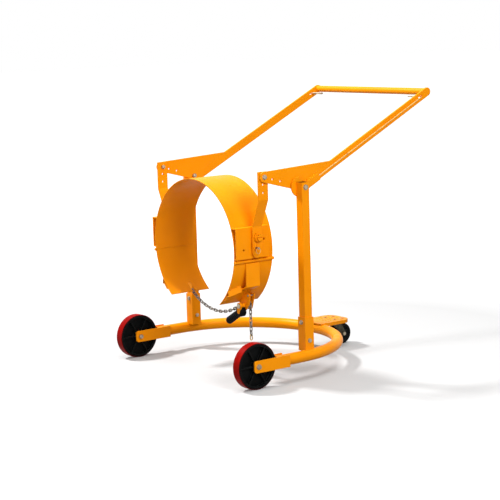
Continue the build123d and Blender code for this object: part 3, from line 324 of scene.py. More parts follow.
def make_black_plastic():
    """Moulded nylon: near black with a grey bloom, edges rubbed grey that are partly a painted highlight,
    and a fine spark-eroded grain.
    """
    mat, tree, bsdf = shader("black_moulding", BLACK, roughness=0.42, gloss=0.04)
    cloud = noise(tree, scale=16.0, detail=5.0)
    bloom = ramp(tree, cloud, [(0.35, BLACK_DEEP), (0.75, BLACK_BLOOM)])
    patches = spread(tree, noise(tree, scale=40.0, detail=5.0), low=0.25, high=1.0)
    # Lighter edges: rubbing, and partly a painted highlight on the ribs
    rubbed = figure(tree, "MULTIPLY", edge_mask(tree, radius=0.0022), patches)
    tree.links.new(mix_colour(tree, rubbed, bloom, BLACK_RUBBED_AND_HIGHLIGHT), bsdf.inputs["Base Color"])
    dull = spread(tree, noise(tree, scale=60.0, detail=4.0), low=0.34, high=0.56)
    tree.links.new(dull, bsdf.inputs["Roughness"])
    relief(tree, bsdf, [(noise(tree, scale=900.0, detail=2.0), 0.14, 0.0004)], edge=0.0012)
    return mat


def make_rubber(name, dark, light, roughness):
    """Rubber: a dusty bloom and a pebbled skin."""
    mat, tree, bsdf = shader(name, dark, roughness, gloss=0.04)
    bloom = ramp(tree, noise(tree, scale=26.0, detail=5.0), [(0.35, dark), (0.80, light)])
    tree.links.new(bloom, bsdf.inputs["Base Color"])
    dull = uneven(tree, noise(tree, scale=80.0, detail=4.0), roughness)
    tree.links.new(dull, bsdf.inputs["Roughness"])
    relief(tree, bsdf, [(noise(tree, scale=700.0, detail=2.0), 0.22, 0.0005)], edge=0.0010)
    return mat


TREAD_RED = (0.28, 0.0030, 0.0018)
TREAD_DEEP = (0.24, 0.0025, 0.0014)
TREAD_LIGHT = (0.36, 0.005, 0.003)
TREAD_DUST = (0.14, 0.013, 0.010)
TREAD_PAINTED_HIGHLIGHT = (0.50, 0.050, 0.048)
TREAD_SIDE = (0.003, 0.0028, 0.0028)


def make_tread():
    """Red polyurethane tyre: even colour, a scuffed rolling face, a painted highlight on the shoulders and
    blackened sides.
    """
    mat, tree, bsdf = shader("red_polyurethane", TREAD_RED, roughness=0.36, gloss=0.02)
    cloud = noise(tree, scale=14.0, detail=4.0)
    tone = ramp(tree, cloud, [(0.30, TREAD_DEEP), (0.55, TREAD_RED), (0.80, TREAD_LIGHT)])
    scuff = noise(tree, scale=70.0, detail=6.0, stretch=(0.5, 1.0, 1.0), rough=0.7)
    dust = spread(tree, scuff, low=0.0, high=0.30, start=0.60, end=0.80)
    dusty = mix_colour(tree, dust, tone, TREAD_DUST)
    # Painted highlight along the tyre's shoulders
    highlight = figure(tree, "MULTIPLY", edge_mask(tree, radius=0.0022), 0.7)
    dusty_and_lit = mix_colour(tree, highlight, dusty, TREAD_PAINTED_HIGHLIGHT)
    patches = spread(tree, noise(tree, scale=24.0, detail=5.0), low=0.88, high=1.0)
    black = figure(tree, "MULTIPLY", tyre_sides(tree), patches)
    tree.links.new(mix_colour(tree, black, dusty_and_lit, TREAD_SIDE), bsdf.inputs["Base Color"])
    dull = spread(tree, noise(tree, scale=40.0, detail=4.0), low=0.26, high=0.48)
    tree.links.new(dull, bsdf.inputs["Roughness"])
    relief(tree, bsdf, [(noise(tree, scale=300.0, detail=3.0), 0.10, 0.0005)], edge=0.0012)
    return mat


PAINTED = make_paint("orange_powder_coat")
PAINTED_UPRIGHT = make_paint("orange_coat_painted_shade_upright", painted_shade_upright)
PAINTED_BASE = make_paint("orange_coat_painted_shade_base", painted_shade_base)
# The step's and studs' heavier scuffs and dirt are partly a painted shade
PAINTED_STEP = make_paint("orange_coat_trodden_and_shaded", wear=0.75, soil_and_shade=0.24)
PAINTED_STUDS = make_paint("orange_coat_studs", wear=0.9, soil_and_shade=0.42)
ZINC = make_metal("zinc_plate", (0.38, 0.325, 0.245), (0.19, 0.145, 0.09), 0.40)
# Zinc darkened as a painted shade for the caster under the step and its bolts
ZINC_PAINTED_SHADE = make_metal("zinc_with_painted_shade", (0.065, 0.060, 0.042), (0.026, 0.024, 0.017), 0.38)
# Steel tinted orange: a painted reflection of the surrounding orange paint
TINTED = make_metal("latch_steel", (0.78, 0.40, 0.10), (0.58, 0.27, 0.06), 0.50, metallic=0.25)
# Chain steel, darkened partly as a painted shade
CHAIN = make_metal("chain_steel", (0.21, 0.19, 0.165), (0.060, 0.046, 0.032), 0.32)
BRONZE = make_metal("bush_bronze", (0.52, 0.36, 0.15), (0.34, 0.22, 0.08), 0.34)
MOULDED = make_black_plastic()
GRIP = make_rubber("grip_rubber", (0.0025, 0.003, 0.0036), (0.0065, 0.007, 0.008), 0.50)
TYRE = make_rubber("caster_rubber", (0.003, 0.0033, 0.0036), (0.009, 0.0093, 0.010), 0.46)
TREAD = make_tread()

BY_SLOT = {
    "orange_paint": PAINTED, "zinc_steel": ZINC, "chain_steel": CHAIN, "black_plastic": MOULDED,
    "black_grip": GRIP, "red_tread": TREAD, "black_tyre": TYRE, "bush_bronze": BRONZE,
}
OWN_FINISH = {
    "near_latch_rod": TINTED, "far_latch_rod": TINTED, "trunnions": PAINTED, "trunnion_clips": PAINTED,
    "hinge_rods": PAINTED, "lock_barrel": PAINTED, "pull_ring": TINTED, "uprights": PAINTED_UPRIGHT,
    "base_tube": PAINTED_BASE, "caster_fork": ZINC_PAINTED_SHADE, "caster_plate": ZINC_PAINTED_SHADE,
    "caster_axle": ZINC, "near_latch_grip": ZINC, "far_latch_grip": ZINC, "step_plate": PAINTED_STEP,
}
for row in frame["record"]["subparts"]:
    node = NODES[row["node"]]
    finish = OWN_FINISH.get(row["node"], BY_SLOT[row["material_slot"]])
    node.data.materials.clear()
    node.data.materials.append(finish)


# Mesh helpers, with the least angle of a sharp edge, the largest radius that counts as on the axis,
# and the least share of Z in a way that counts as upright
SHARP = radians(40)
ON_AXIS = 1e-6
UPRIGHT_WAY = 0.9


def piece(name, mesh_bm, body, material, replaced=()):
    """Turns a bmesh in millimetres into an object that rides on a body."""
    bmesh.ops.recalc_face_normals(mesh_bm, faces=mesh_bm.faces)
    data = bpy.data.meshes.new(name)
    mesh_bm.transform(Matrix.Scale(MM, 4))
    mesh_bm.to_mesh(data)
    mesh_bm.free()
    data.materials.append(material)
    data.shade_smooth()
    data.set_sharp_from_angle(angle=SHARP)
    obj = bpy.data.objects.new(name, data)
    bpy.context.scene.collection.objects.link(obj)
    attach(obj, body)
    if replaced:
        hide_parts(*replaced)
    return obj


def sweep_ring(bm, points, normal, sides, radius_at, closed):
    """Tube of round sections through points; radius_at gives each section's radius."""
    count = len(points)
    rings = []
    for i, point in enumerate(points):
        ahead = points[(i + 1) % count] if closed else points[min(i + 1, count - 1)]
        behind = points[i - 1] if closed else points[max(i - 1, 0)]
        tangent = (ahead - behind).normalized()
        across = tangent.cross(normal).normalized()
        upward = across.cross(tangent)
        radius = radius_at(i)
        ring = []
        for k in range(sides):
            angle = 2 * pi * k / sides
            ring.append(bm.verts.new(point + radius * (cos(angle) * upward + sin(angle) * across)))
        rings.append(ring)
    pairs = zip(rings, rings[1:] + rings[:1]) if closed else zip(rings, rings[1:])
    for first, second in pairs:
        for k in range(sides):
            n = (k + 1) % sides
            bm.faces.new((first[k], first[n], second[n], second[k]))
    if not closed:
        bm.faces.new(rings[0])
        bm.faces.new(reversed(rings[-1]))


def lathe(bm, profile, place, sides):
    """Turned surface: (radius, height) profile about the place's Z."""
    rings = []
    for radius, height in profile:
        if radius < ON_AXIS:
            rings.append([bm.verts.new(place @ Vector((0, 0, height)))])
            continue
        ring = []
        for k in range(sides):
            angle = 2 * pi * k / sides
            ring.append(bm.verts.new(place @ Vector((radius * cos(angle), radius * sin(angle), height))))
        rings.append(ring)
    for first, second in zip(rings, rings[1:]):
        for k in range(sides):
            n = (k + 1) % sides
            if len(first) == 1 and len(second) > 1:
                bm.faces.new((first[0], second[n], second[k]))
            elif len(second) == 1 and len(first) > 1:
                bm.faces.new((first[k], first[n], second[0]))
            elif len(first) > 1:
                bm.faces.new((first[k], first[n], second[n], second[k]))


def place_at(origin, z_way):
    """Matrix whose Z runs along z_way from the origin."""
    z = Vector(z_way).normalized()
    x = Vector((0, 0, 1)) if abs(z.z) < UPRIGHT_WAY else Vector((1, 0, 0))
    y = z.cross(x).normalized()
    x = y.cross(z)
    turn = Matrix((x, y, z)).transposed().to_4x4()
    return Matrix.Translation(Vector(origin)) @ turn


# Chain of round-wire links, with a weld bulge at (share of the half length, swell) points
WIRE_R = 2.25
WIRE_SIDES = 10
BOW_R = 5.2
BOW_STEPS = 8
LINK_HALF = 6.4
PITCH = 2 * LINK_HALF + BOW_R
SWELL = 0.35
BULGE = ((0.35, 0.0), (0.2, SWELL), (-0.05, SWELL), (-0.2, 0.0))
CHAIN_FIT = 0.15
CHAIN_R = DRUM_R + BOW_R + WIRE_R + CHAIN_FIT
SHAFT_OUT = 30.0
SHAFT_FALL = radians(48.6)
SHAFT_X = (SHELL_R + SHAFT_OUT) * cos(SHAFT_FALL)
SHAFT_Z = SADDLE_Z - (SHELL_R + SHAFT_OUT) * sin(SHAFT_FALL)
WHEEL_PITCH_R = 20.0
TAIL_DROP = 20.0
REACH = hypot(SHAFT_X, SADDLE_Z - SHAFT_Z)
LEAVE = atan2(SADDLE_Z - SHAFT_Z, -SHAFT_X) - acos((CHAIN_R + WHEEL_PITCH_R) / REACH)
WRAP_END = TAIL_DROP + LEAVE * WHEEL_PITCH_R
STRAIGHT = sqrt(REACH**2 - (CHAIN_R + WHEEL_PITCH_R) ** 2)
WRAP_LINKS = 3
TENSION_LINKS = 23
TAIL_LINKS = 7


def chain_point(length):
    """Point (x, z) on the chain's path, measured from the last pulled joint."""
    if length < TAIL_DROP:
        return SHAFT_X + WHEEL_PITCH_R, SHAFT_Z - TAIL_DROP + length
    if length < WRAP_END:
        turn = (length - TAIL_DROP) / WHEEL_PITCH_R
        return SHAFT_X + WHEEL_PITCH_R * cos(turn), SHAFT_Z + WHEEL_PITCH_R * sin(turn)
    if length < WRAP_END + STRAIGHT:
        past = length - WRAP_END
        x = SHAFT_X + WHEEL_PITCH_R * cos(LEAVE) - sin(LEAVE) * past
        return x, SHAFT_Z + WHEEL_PITCH_R * sin(LEAVE) + cos(LEAVE) * past
    turn = LEAVE + pi - (length - WRAP_END - STRAIGHT) / CHAIN_R
    return CHAIN_R * cos(turn), SADDLE_Z + CHAIN_R * sin(turn)


def chain_joints(first, links):
    """Joints of a run of links along the chain's path."""
    return [chain_point(i * PITCH) for i in range(first, first + links + 1)]


def add_link(bm, start, end, standing):
    """Round-wire link between two (x, z) joints, with a weld bulge on one straight side."""
    way = Vector((end[0] - start[0], 0, end[1] - start[1])).normalized()
    middle = Vector(((start[0] + end[0]) / 2, CHAIN_Y, (start[1] + end[1]) / 2))
    level = Vector((0, 1, 0))
    side = way.cross(level) if standing else level
    points = []
    swells = []
    for sign in (1, -1):
        for k in range(BOW_STEPS + 1):
            angle = -pi / 2 + pi * k / BOW_STEPS
            along = sign * (LINK_HALF + BOW_R * cos(angle))
            across = sign * BOW_R * sin(angle)
            points.append(middle + along * way + across * side)
            swells.append(0.0)
        if sign == 1:
            for share, swell in BULGE:
                points.append(middle + LINK_HALF * share * way + BOW_R * side)
                swells.append(swell)
    sweep_ring(bm, points, way.cross(side), WIRE_SIDES, lambda i: WIRE_R + swells[i], True)


def chain_piece(name, body, joints, first_standing, replaced, brass_end=False):
    """Links between joints, turned by a quarter from one to the next; the last one may be of brass."""
    bm = bmesh.new()
    for index, (start, end) in enumerate(zip(joints, joints[1:])):
        made = len(bm.faces)
        add_link(bm, start, end, (index % 2 == 0) == first_standing)
    if brass_end:
        for face in list(bm.faces)[made:]:
            face.material_index = 1
    links = piece(name, bm, body, CHAIN, replaced=(replaced,))
    if brass_end:
        links.data.materials.append(BRONZE)


tail_x, tail_z = chain_point(0)
tail_joints = [(tail_x, tail_z - i * PITCH) for i in range(TAIL_LINKS + 1)]
tension_joints = chain_joints(WRAP_LINKS + 1, TENSION_LINKS)
chain_piece("wrap_links_wire", "near_jaw", chain_joints(0, WRAP_LINKS), True, "wrap_links")
chain_piece("tension_links_wire", "chain", tension_joints, True, "tension_chain")
chain_piece("tail_links_wire", "tail", tail_joints, False, "tail_chain", brass_end=True)


# Bolts with chamfered heads, washers, nuts and thread ends: counts, and sizes in shares of the radius
HEX_SIDES = 24
HEX_TURNED = 0.98
HEX_CHAMFER = 0.16
HEAD_R = 1.73
HEAD_T = 1.15
NUT_T = 1.6
WASHER_T = 0.22
WASHER_FACE = 1.88
WASHER_R = 1.96
WASHER_SIDES = 36
THREAD_ROOT = 0.9
THREAD_END = 0.82
THREAD_TURNS = 6
BOLT_SIDES = 24

# The rest of the bolts' sizes, in millimetres, apart from the thread's start as a share of the nut
THREAD_START = 0.4
THREAD_PROUD = 2.0
THREAD_TAPER = 0.8
PIVOT_BOLT_R = 6.0
PIVOT_GRIP = 57.0
TIP_BOLT_R = 5.5
TIP_GRIP = 18.0
AXLE_R = 6.0
SOCKET_BOLT_R = 5.0
SOCKET_SIDE_Z = 156.0
SOCKET_FRONT_Z = 233.0


def hex_outline(radius):
    """Reach of a hexagon's edge at even steps round its middle."""
    reach = []
    for k in range(HEX_SIDES):
        local = (2 * pi * k / HEX_SIDES + pi / 6) % (pi / 3) - pi / 6
        reach.append(radius * cos(pi / 6) / cos(local))
    return reach


def stack(bm, place, levels):
    """Solid through (reach at each step, height) levels, closed at both ends."""
    rows = []
    for reach, height in levels:
        row = []
        for k in range(HEX_SIDES):
            angle = 2 * pi * k / HEX_SIDES
            spot = Vector((reach[k] * cos(angle), reach[k] * sin(angle), height))
            row.append(bm.verts.new(place @ spot))
        rows.append(row)
    for first, second in zip(rows, rows[1:]):
        for k in range(HEX_SIDES):
            n = (k + 1) % HEX_SIDES
            bm.faces.new((first[k], first[n], second[n], second[k]))
    bm.faces.new(rows[0])
    bm.faces.new(reversed(rows[-1]))


def add_hex(bm, place, radius, low, high, chamfer):
    """Hexagon with its outer corners turned down at both ends."""
    flats = hex_outline(radius)
    turned = [min(radius * cos(pi / 6) * HEX_TURNED, reach) for reach in flats]
    stack(bm, place, [(turned, low), (flats, low + chamfer), (flats, high - chamfer), (turned, high)])


def add_bolt(bm, place, radius, grip):
    """Bolt along the place's Z from under its head, with a washer there and a nut at the far end."""
    head_t = HEAD_T * radius
    nut_t = NUT_T * radius
    washer_t = WASHER_T * radius
    washer_r = WASHER_R * radius
    washer = [(0, -washer_t), (WASHER_FACE * radius, -washer_t)]
    washer += [(washer_r, -washer_t / 2), (washer_r, 0), (0, 0)]
    lathe(bm, washer, place, WASHER_SIDES)
    add_hex(bm, place, HEAD_R * radius, -head_t, -washer_t, HEX_CHAMFER * radius)
    add_hex(bm, place, HEAD_R * radius, grip, grip + nut_t, HEX_CHAMFER * radius)
    end = grip + nut_t + THREAD_PROUD
    thread = grip + nut_t * THREAD_START
    step = (end - THREAD_TAPER - thread) / (2 * THREAD_TURNS)
    profile = [(0, -head_t / 2), (radius, -head_t / 2), (radius, thread)]
    for k in range(1, 2 * THREAD_TURNS + 1):
        profile.append((radius * (THREAD_ROOT if k % 2 else 1.0), thread + k * step))
    profile += [(radius * THREAD_END, end), (0, end)]
    lathe(bm, profile, place, BOLT_SIDES)


def bolt_piece(name, body, places, radius, grip, replaced):
    """Equal bolts at (origin, way) places, in the place of one node."""
    bm = bmesh.new()
    for origin, way in places:
        add_bolt(bm, place_at(origin, way), radius, grip)
    piece(name, bm, body, ZINC, replaced=(replaced,))


def both_sides(x, y, z):
    """Places on the near and the far side, each pointing inwards."""
    return [((x, y, z), (-1, 0, 0)), ((-x, y, z), (1, 0, 0))]


pivot_places = both_sides(UPRIGHT_X + UPRIGHT_HALF, PIVOT_Y, PIVOT_Z)
tip_places = both_sides(SIDE_OUT, TIP_Y, TIP_Z)
axle_places = both_sides(FORK_OUT, AXLE_Y, WHEEL_R)
socket_places = both_sides(UPRIGHT_X + SOCKET_HALF, PIVOT_Y, SOCKET_SIDE_Z)
for x in (UPRIGHT_X, -UPRIGHT_X):
    socket_places.append(((x, PIVOT_Y - SOCKET_HALF, SOCKET_FRONT_Z), (0, 1, 0)))
bolt_piece("pivot_bolts_hex", "base", pivot_places, PIVOT_BOLT_R, PIVOT_GRIP, "pivot_bolts")
bolt_piece("tip_bolts_hex", "handle", tip_places, TIP_BOLT_R, TIP_GRIP, "tip_bolts")
bolt_piece("wheel_axles_hex", "base", axle_places, AXLE_R, 2 * FORK_HALF, "wheel_axles")
bolt_piece("socket_bolts_hex", "base", socket_places, SOCKET_BOLT_R, 2 * SOCKET_HALF, "socket_bolts")


# Countersunk bolts through the step and the caster's plate, with hexagon sockets and nuts below
SUNK_R = 4.0
SUNK_FACE_R = 8.7
SUNK_EDGE_R = 8.55
SUNK_EDGE_T = 0.4
SUNK_HEAD_T = 5.0
SUNK_THREAD_STEP = 0.4
SUNK_THREAD_STEPS = 4
KEY_R = 3.5
KEY_MOUTH_R = 3.9
KEY_DEEP = 2.8
CASTER_PLATE_T = 4.0
CASTER_BOLT_X = 32.0
CASTER_BOLT_Y = 22.0


def round_level(radius, height):
    """Round level of a stack."""
    return [radius] * HEX_SIDES, height


def add_sunk_bolt(bm, place):
    """Bolt down from its flush head at the place's origin."""
    nut_top = -SUNK_HEAD_T - CASTER_PLATE_T
    nut_low = nut_top - NUT_T * SUNK_R
    key = hex_outline(KEY_R)
    levels = [(key, -KEY_DEEP), (key, -SUNK_EDGE_T), (hex_outline(KEY_MOUTH_R), 0)]
    levels += [round_level(SUNK_FACE_R, 0), round_level(SUNK_EDGE_R, -SUNK_EDGE_T)]
    levels += [round_level(SUNK_R, -SUNK_HEAD_T), round_level(SUNK_R, nut_low)]
    for k in range(1, SUNK_THREAD_STEPS + 1):
        radius = SUNK_R * (THREAD_ROOT if k % 2 else 1.0)
        levels.append(round_level(radius, nut_low - SUNK_THREAD_STEP * k))
    levels.append(round_level(SUNK_R * THREAD_END, nut_low - THREAD_PROUD))
    stack(bm, place, levels)
    add_hex(bm, place, HEAD_R * SUNK_R, nut_low, nut_top, HEX_CHAMFER * SUNK_R)


bm = bmesh.new()
for x in (-CASTER_BOLT_X, CASTER_BOLT_X):
    for y in (-CASTER_BOLT_Y, CASTER_BOLT_Y):
        add_sunk_bolt(bm, place_at((x, CASTER_Y + y, STEP_TOP), (0, 0, 1)))
piece("caster_bolts_sunk", bm, "base", ZINC_PAINTED_SHADE, replaced=("caster_bolts",))


# Caster wheel: crowned tyre on a ribbed core with a hub, as (radius, half width) points
CASTER_R = 48.0
CASTER_HALF = 15.0
CASTER_BORE = 5.05
CASTER_TRAIL = 42.0
CASTER_SIDES = 72
CASTER_HUB_R = 11.0
CASTER_CORE_R = 36.6
CASTER_RIM_HALF = CASTER_HALF - 0.4
RIBS = 6
RIB_L = 22.0
RIB_T = 2.6
RIB_W = 25.6
MERGE_DISTANCE = 0.001
hub = [(CASTER_BORE, CASTER_HALF), (CASTER_HUB_R, CASTER_HALF), (12.0, CASTER_HALF - 0.8)]
web = [(12.8, 10.6), (30.6, 10.0), (32.6, 11.2)]
rim = [(33.4, CASTER_HALF - 0.9), (34.0, CASTER_RIM_HALF), (36.0, CASTER_RIM_HALF)]
groove = [(CASTER_CORE_R, CASTER_HALF - 1.3), (37.2, CASTER_RIM_HALF)]
wall = [(38.0, CASTER_HALF), (42.6, CASTER_HALF), (45.2, CASTER_HALF - 0.8)]
crown = [(46.8, CASTER_HALF - 2.4), (47.6, CASTER_HALF - 4.8), (47.9, 5.0)]
half = hub + web + rim + groove + wall + crown
other_half = [(radius, -across) for radius, across in reversed(half)]
caster_place = place_at((0, CASTER_Y + CASTER_TRAIL, CASTER_R), (1, 0, 0))
bm = bmesh.new()
lathe(bm, half + [(CASTER_R, 0.0)] + other_half + half[:1], caster_place, CASTER_SIDES)
bmesh.ops.remove_doubles(bm, verts=bm.verts, dist=MERGE_DISTANCE)
for k in range(RIBS):
    rib = Matrix.Rotation(2 * pi * k / RIBS, 4, "Z") @ Matrix.Translation((CASTER_HUB_R + RIB_L / 2, 0, 0))
    rib_size = Matrix.Diagonal((RIB_L, RIB_T, RIB_W, 1))
    bmesh.ops.create_cube(bm, size=1.0, matrix=caster_place @ rib @ rib_size)
for face in bm.faces:
    spot = caster_place.inverted() @ face.calc_center_median()
    face.material_index = 1 if hypot(spot.x, spot.y) < CASTER_CORE_R else 0
wheel = piece("caster_wheel_moulded", bm, "caster_roll", TYRE, replaced=("caster_wheel",))
wheel.data.materials.append(MOULDED)


# Ratchet lever's ribbed rubber grip: a slim neck at the lever's arm, a fuller hand grip and a round boss
LEVER_AHEAD = 45.45
LEVER_PROUD = 1.0
LEVER_GRIP_R = 13.5
LEVER_OFFSET_X = -4.0
LEVER_OFFSET_Z = -25.0
GRIP_SLOPE = radians(30.0)
NECK_R = 12.9
NECK_L = 18.0
GRIP_R = 16.5
GRIP_L = 106.0
GRIP_SIDES = 40
GRIP_ROUND = ((0, 9.0), (0.6, 5.4), (2.2, 2.6), (5.0, 0.7), (9.0, 0), (GRIP_R, 0))
RINGS = 7
RING_FIRST = NECK_L + 4.0
RING_PITCH = 10.8
RING_L = 6.2
GROOVE = 1.0
GROOVE_START = 7.4
GROOVE_END = 9.4
BOSS_R = 20.0
BOSS_HALF = 14.0
BOSS_DROP = 2.0
BOSS_ROUND = 2.5
BOSS_EDGE = 0.8
profile = [(0, 0), (NECK_R, 0), (NECK_R, NECK_L)]
for ring in range(RINGS):
    start = RING_FIRST + ring * RING_PITCH
    profile += [(GRIP_R, start), (GRIP_R, start + RING_L)]
    profile += [(GRIP_R - GROOVE, start + GROOVE_START), (GRIP_R - GROOVE, start + GROOVE_END)]
profile += [(GRIP_R - inward, GRIP_L - back) for inward, back in GRIP_ROUND]
boss = [(0, -BOSS_HALF), (BOSS_R - BOSS_ROUND, -BOSS_HALF)]
boss += [(BOSS_R - BOSS_EDGE, BOSS_EDGE - BOSS_HALF), (BOSS_R, BOSS_ROUND - BOSS_HALF)]
boss += [(radius, -height) for radius, height in reversed(boss)]
lever_y = CHAIN_Y - LEVER_AHEAD + LEVER_PROUD + LEVER_GRIP_R
grip_root = Vector((SHAFT_X + LEVER_OFFSET_X, lever_y, SHAFT_Z + LEVER_OFFSET_Z))
grip_place = place_at(grip_root, (-cos(GRIP_SLOPE), 0, -sin(GRIP_SLOPE)))
boss_place = place_at(grip_root - Vector((0, 0, BOSS_DROP)), (0, 1, 0))
bm = bmesh.new()
lathe(bm, profile, grip_place, GRIP_SIDES)
lathe(bm, boss, boss_place, GRIP_SIDES)
piece("lever_grip_ribbed", bm, "lever", GRIP, replaced=("lever_grip",))


# Anti-slip studs on the foot step, clear of the caster's bolts
STUD_ROWS = 5
STUD_COLUMNS = 6
STUD_PITCH = 21.0
STUD_STAGGER = 5.25
STUD_FIRST_X = -52.5
STUD_FIRST_Y = CASTER_Y - 70.0
STUD_SIDES = 14
STUD = [(0, -0.4), (4.6, -0.4), (4.4, 0.5), (3.4, 1.4), (1.8, 1.9), (0, 2.0)]
BOLT_CLEAR = 15.0
bm = bmesh.new()
for row in range(STUD_ROWS):
    for column in range(STUD_COLUMNS):
        x = STUD_FIRST_X + column * STUD_PITCH + (STUD_STAGGER if row % 2 else -STUD_STAGGER)
        y = STUD_FIRST_Y + row * STUD_PITCH
        near_x = abs(abs(x) - CASTER_BOLT_X) < BOLT_CLEAR
        near_y = abs(abs(y - CASTER_Y) - CASTER_BOLT_Y) < BOLT_CLEAR
        if not (near_x and near_y):
            lathe(bm, STUD, place_at((x, y, STEP_TOP), (0, 0, 1)), STUD_SIDES)
piece("step_studs", bm, "base", PAINTED_STUDS)


# Weld beads, rippled along their seams
BEAD_STEP = 1.6
BEAD_SIDES = 8
BEAD_LEAST_STEPS = 6
BEAD_TAPER_STEPS = 6
RIPPLE = 0.13
RIPPLE_TURN = 2.1


def weld(bm, points, normal, radius):
    """Rippled bead along a seam, its ends tapered."""
    runs = [Vector(p) for p in points]
    length = sum((b - a).length for a, b in zip(runs, runs[1:]))
    steps = max(BEAD_LEAST_STEPS, int(length / BEAD_STEP))
    path = []
    leg_index = 0
    used = 0.0
    for i in range(steps + 1):
        want = length * i / steps
        leg = runs[leg_index + 1] - runs[leg_index]
        while leg_index < len(runs) - 2 and used + leg.length < want:
            used += leg.length
            leg_index += 1
            leg = runs[leg_index + 1] - runs[leg_index]
        path.append(runs[leg_index] + leg * min(1.0, (want - used) / leg.length))
    ends = min(BEAD_TAPER_STEPS, steps // 3)

    def bead_radius(i):
        taper = min(1.0, (min(i, steps - i) + 1) / ends)
        return radius * taper * (1.0 + RIPPLE * sin(i * RIPPLE_TURN))

    sweep_ring(bm, path, Vector(normal), BEAD_SIDES, bead_radius, False)


def stitches(first, pitch, length, count):
    """Starts and ends of short beads along a seam."""
    return [(first + k * pitch, first + k * pitch + length) for k in range(count)]


# Welds of the upright sockets and the fork plates on the base tube
SEAM_STEPS = 8
SEAM_LOW = 112.0
TUBE_SHOULDER = TUBE_R * 0.94
SOCKET_BEAD = 3.0
FORK_BEAD = 2.8
FORK_BEAD_OUT = 24.2
FORK_BEAD_HALF = 12.0
FORK_BEAD_BULGE = 0.5


def tube_top(x, y):
    """Height of the base tube's top surface over a floor point, or None beside the tube."""
    rho = hypot(x, y - ARC_Y) if y > ARC_Y else abs(x)
    off = rho - TRACK_X
    return TUBE_Z + sqrt(TUBE_R**2 - off * off) if abs(off) < TUBE_SHOULDER else None


bm = bmesh.new()
for sign in (1, -1):
    side = [SOCKET_HALF * t / SEAM_STEPS for t in range(-SEAM_STEPS, SEAM_STEPS + 1)]
    front = [(UPRIGHT_X + t, PIVOT_Y - SOCKET_HALF) for t in side]
    outer = [(UPRIGHT_X + SOCKET_HALF, PIVOT_Y + t) for t in side]
    rear = [(UPRIGHT_X + t, PIVOT_Y + SOCKET_HALF) for t in side]
    for spots in (front, outer, rear):
        seam = [(sign * x, y, tube_top(x, y)) for x, y in spots if tube_top(x, y)]
        weld(bm, [p for p in seam if p[2] > SEAM_LOW], (0, 0, 1), SOCKET_BEAD)
    for way in (1, -1):
        x = sign * (TRACK_X + way * FORK_BEAD_OUT)
        seam = [(x, FORK_REAR, TUBE_Z - FORK_BEAD_HALF), (x, FORK_REAR + FORK_BEAD_BULGE, TUBE_Z)]
        seam += [(x, FORK_REAR, TUBE_Z + FORK_BEAD_HALF)]
        weld(bm, seam, (sign * way, 0, 0), FORK_BEAD)
piece("frame_welds", bm, "base", PAINTED)


# Welds of the cross bar and the guide sleeves on the handle's arms
BAR_BEAD = 2.4
BAR_BEAD_STEPS = 24
BAR_BEAD_R = BAR_R + 0.4
BAR_BEAD_X = SIDE_IN - 0.6
SLEEVE_BEAD = 2.0
SLEEVE_BEAD_X = SIDE_OUT + 0.5
SLEEVE_BEAD_OFF = SLEEVE_HALF + 0.4
SLEEVE_STITCHES = stitches(SLEEVE_START + 4.0, pitch=25.0, length=17.0, count=3)
rise = BAR_Z - PIVOT_Z
run = BAR_Y - PIVOT_Y
tilt = atan2(rise, run) + asin(ARM_DROP / hypot(rise, run))
foot_y = PIVOT_Y + ARM_DROP * sin(tilt)
foot_z = PIVOT_Z - ARM_DROP * cos(tilt)


def on_arm(x, along, square):
    """Point along an arm from its foot, and square to it."""
    y = foot_y + along * cos(tilt) - square * sin(tilt)
    return x, y, foot_z + along * sin(tilt) + square * cos(tilt)


bm = bmesh.new()
for sign in (1, -1):
    ring = []
    for k in range(BAR_BEAD_STEPS + 1):
        angle = 2 * pi * k / BAR_BEAD_STEPS
        y = BAR_Y + BAR_BEAD_R * cos(angle)
        ring.append((sign * BAR_BEAD_X, y, BAR_Z + BAR_BEAD_R * sin(angle)))
    weld(bm, ring, (1, 0, 0), BAR_BEAD)
    for square in (-SLEEVE_BEAD_OFF, SLEEVE_BEAD_OFF):
        for stitch in SLEEVE_STITCHES:
            ends = [on_arm(sign * SLEEVE_BEAD_X, along, square) for along in stitch]
            weld(bm, ends, (1, 0, 0), SLEEVE_BEAD)
piece("handle_welds", bm, "handle", PAINTED)


# Welds of the side pads on the saddle
PAD_BEAD = 2.0
PAD_BEAD_OFF = 0.6
PAD_BEAD_OUT = 0.8
PAD_STITCHES = stitches(SADDLE_FRONT + 6.0, pitch=32.0, length=22.0, count=5)
bm = bmesh.new()
for sign in (1, -1):
    for z in (PAD_TOP + PAD_BEAD_OFF, PAD_BOTTOM - PAD_BEAD_OFF):
        x = sign * (sqrt(SHELL_R**2 - (z - SADDLE_Z) ** 2) + PAD_BEAD_OUT)
        for start, end in PAD_STITCHES:
            weld(bm, [(x, start, z), (x, end, z)], (sign, 0, 0), PAD_BEAD)
piece("saddle_welds", bm, "holder", PAINTED)


# Welds of the strips and brackets on the jaws, with falls in degrees below level
STRIP_BEAD = 1.9
STRIP_BEAD_R = SHELL_R + 0.7
STRIP_FALLS = (10.1, 37.5)
STRIP_STITCHES = stitches(STRIP_FRONT + 3.0, pitch=24.0, length=16.0, count=3)
BRACKET_BEAD = 1.8
BRACKET_BEAD_R = SHELL_R + 0.6
BRACKET_FALL = 34.1
BRACKET_CLIMB = 4.0
BRACKET_STARTS = (0.08, 0.42, 0.74)
BRACKET_STEP = 0.09
BRACKET_POINTS = 3


def on_drum(radius, fall, sign):
    """Point (x, z) round the drum's axis, below level on one side."""
    return sign * radius * cos(radians(fall)), SADDLE_Z - radius * sin(radians(fall))


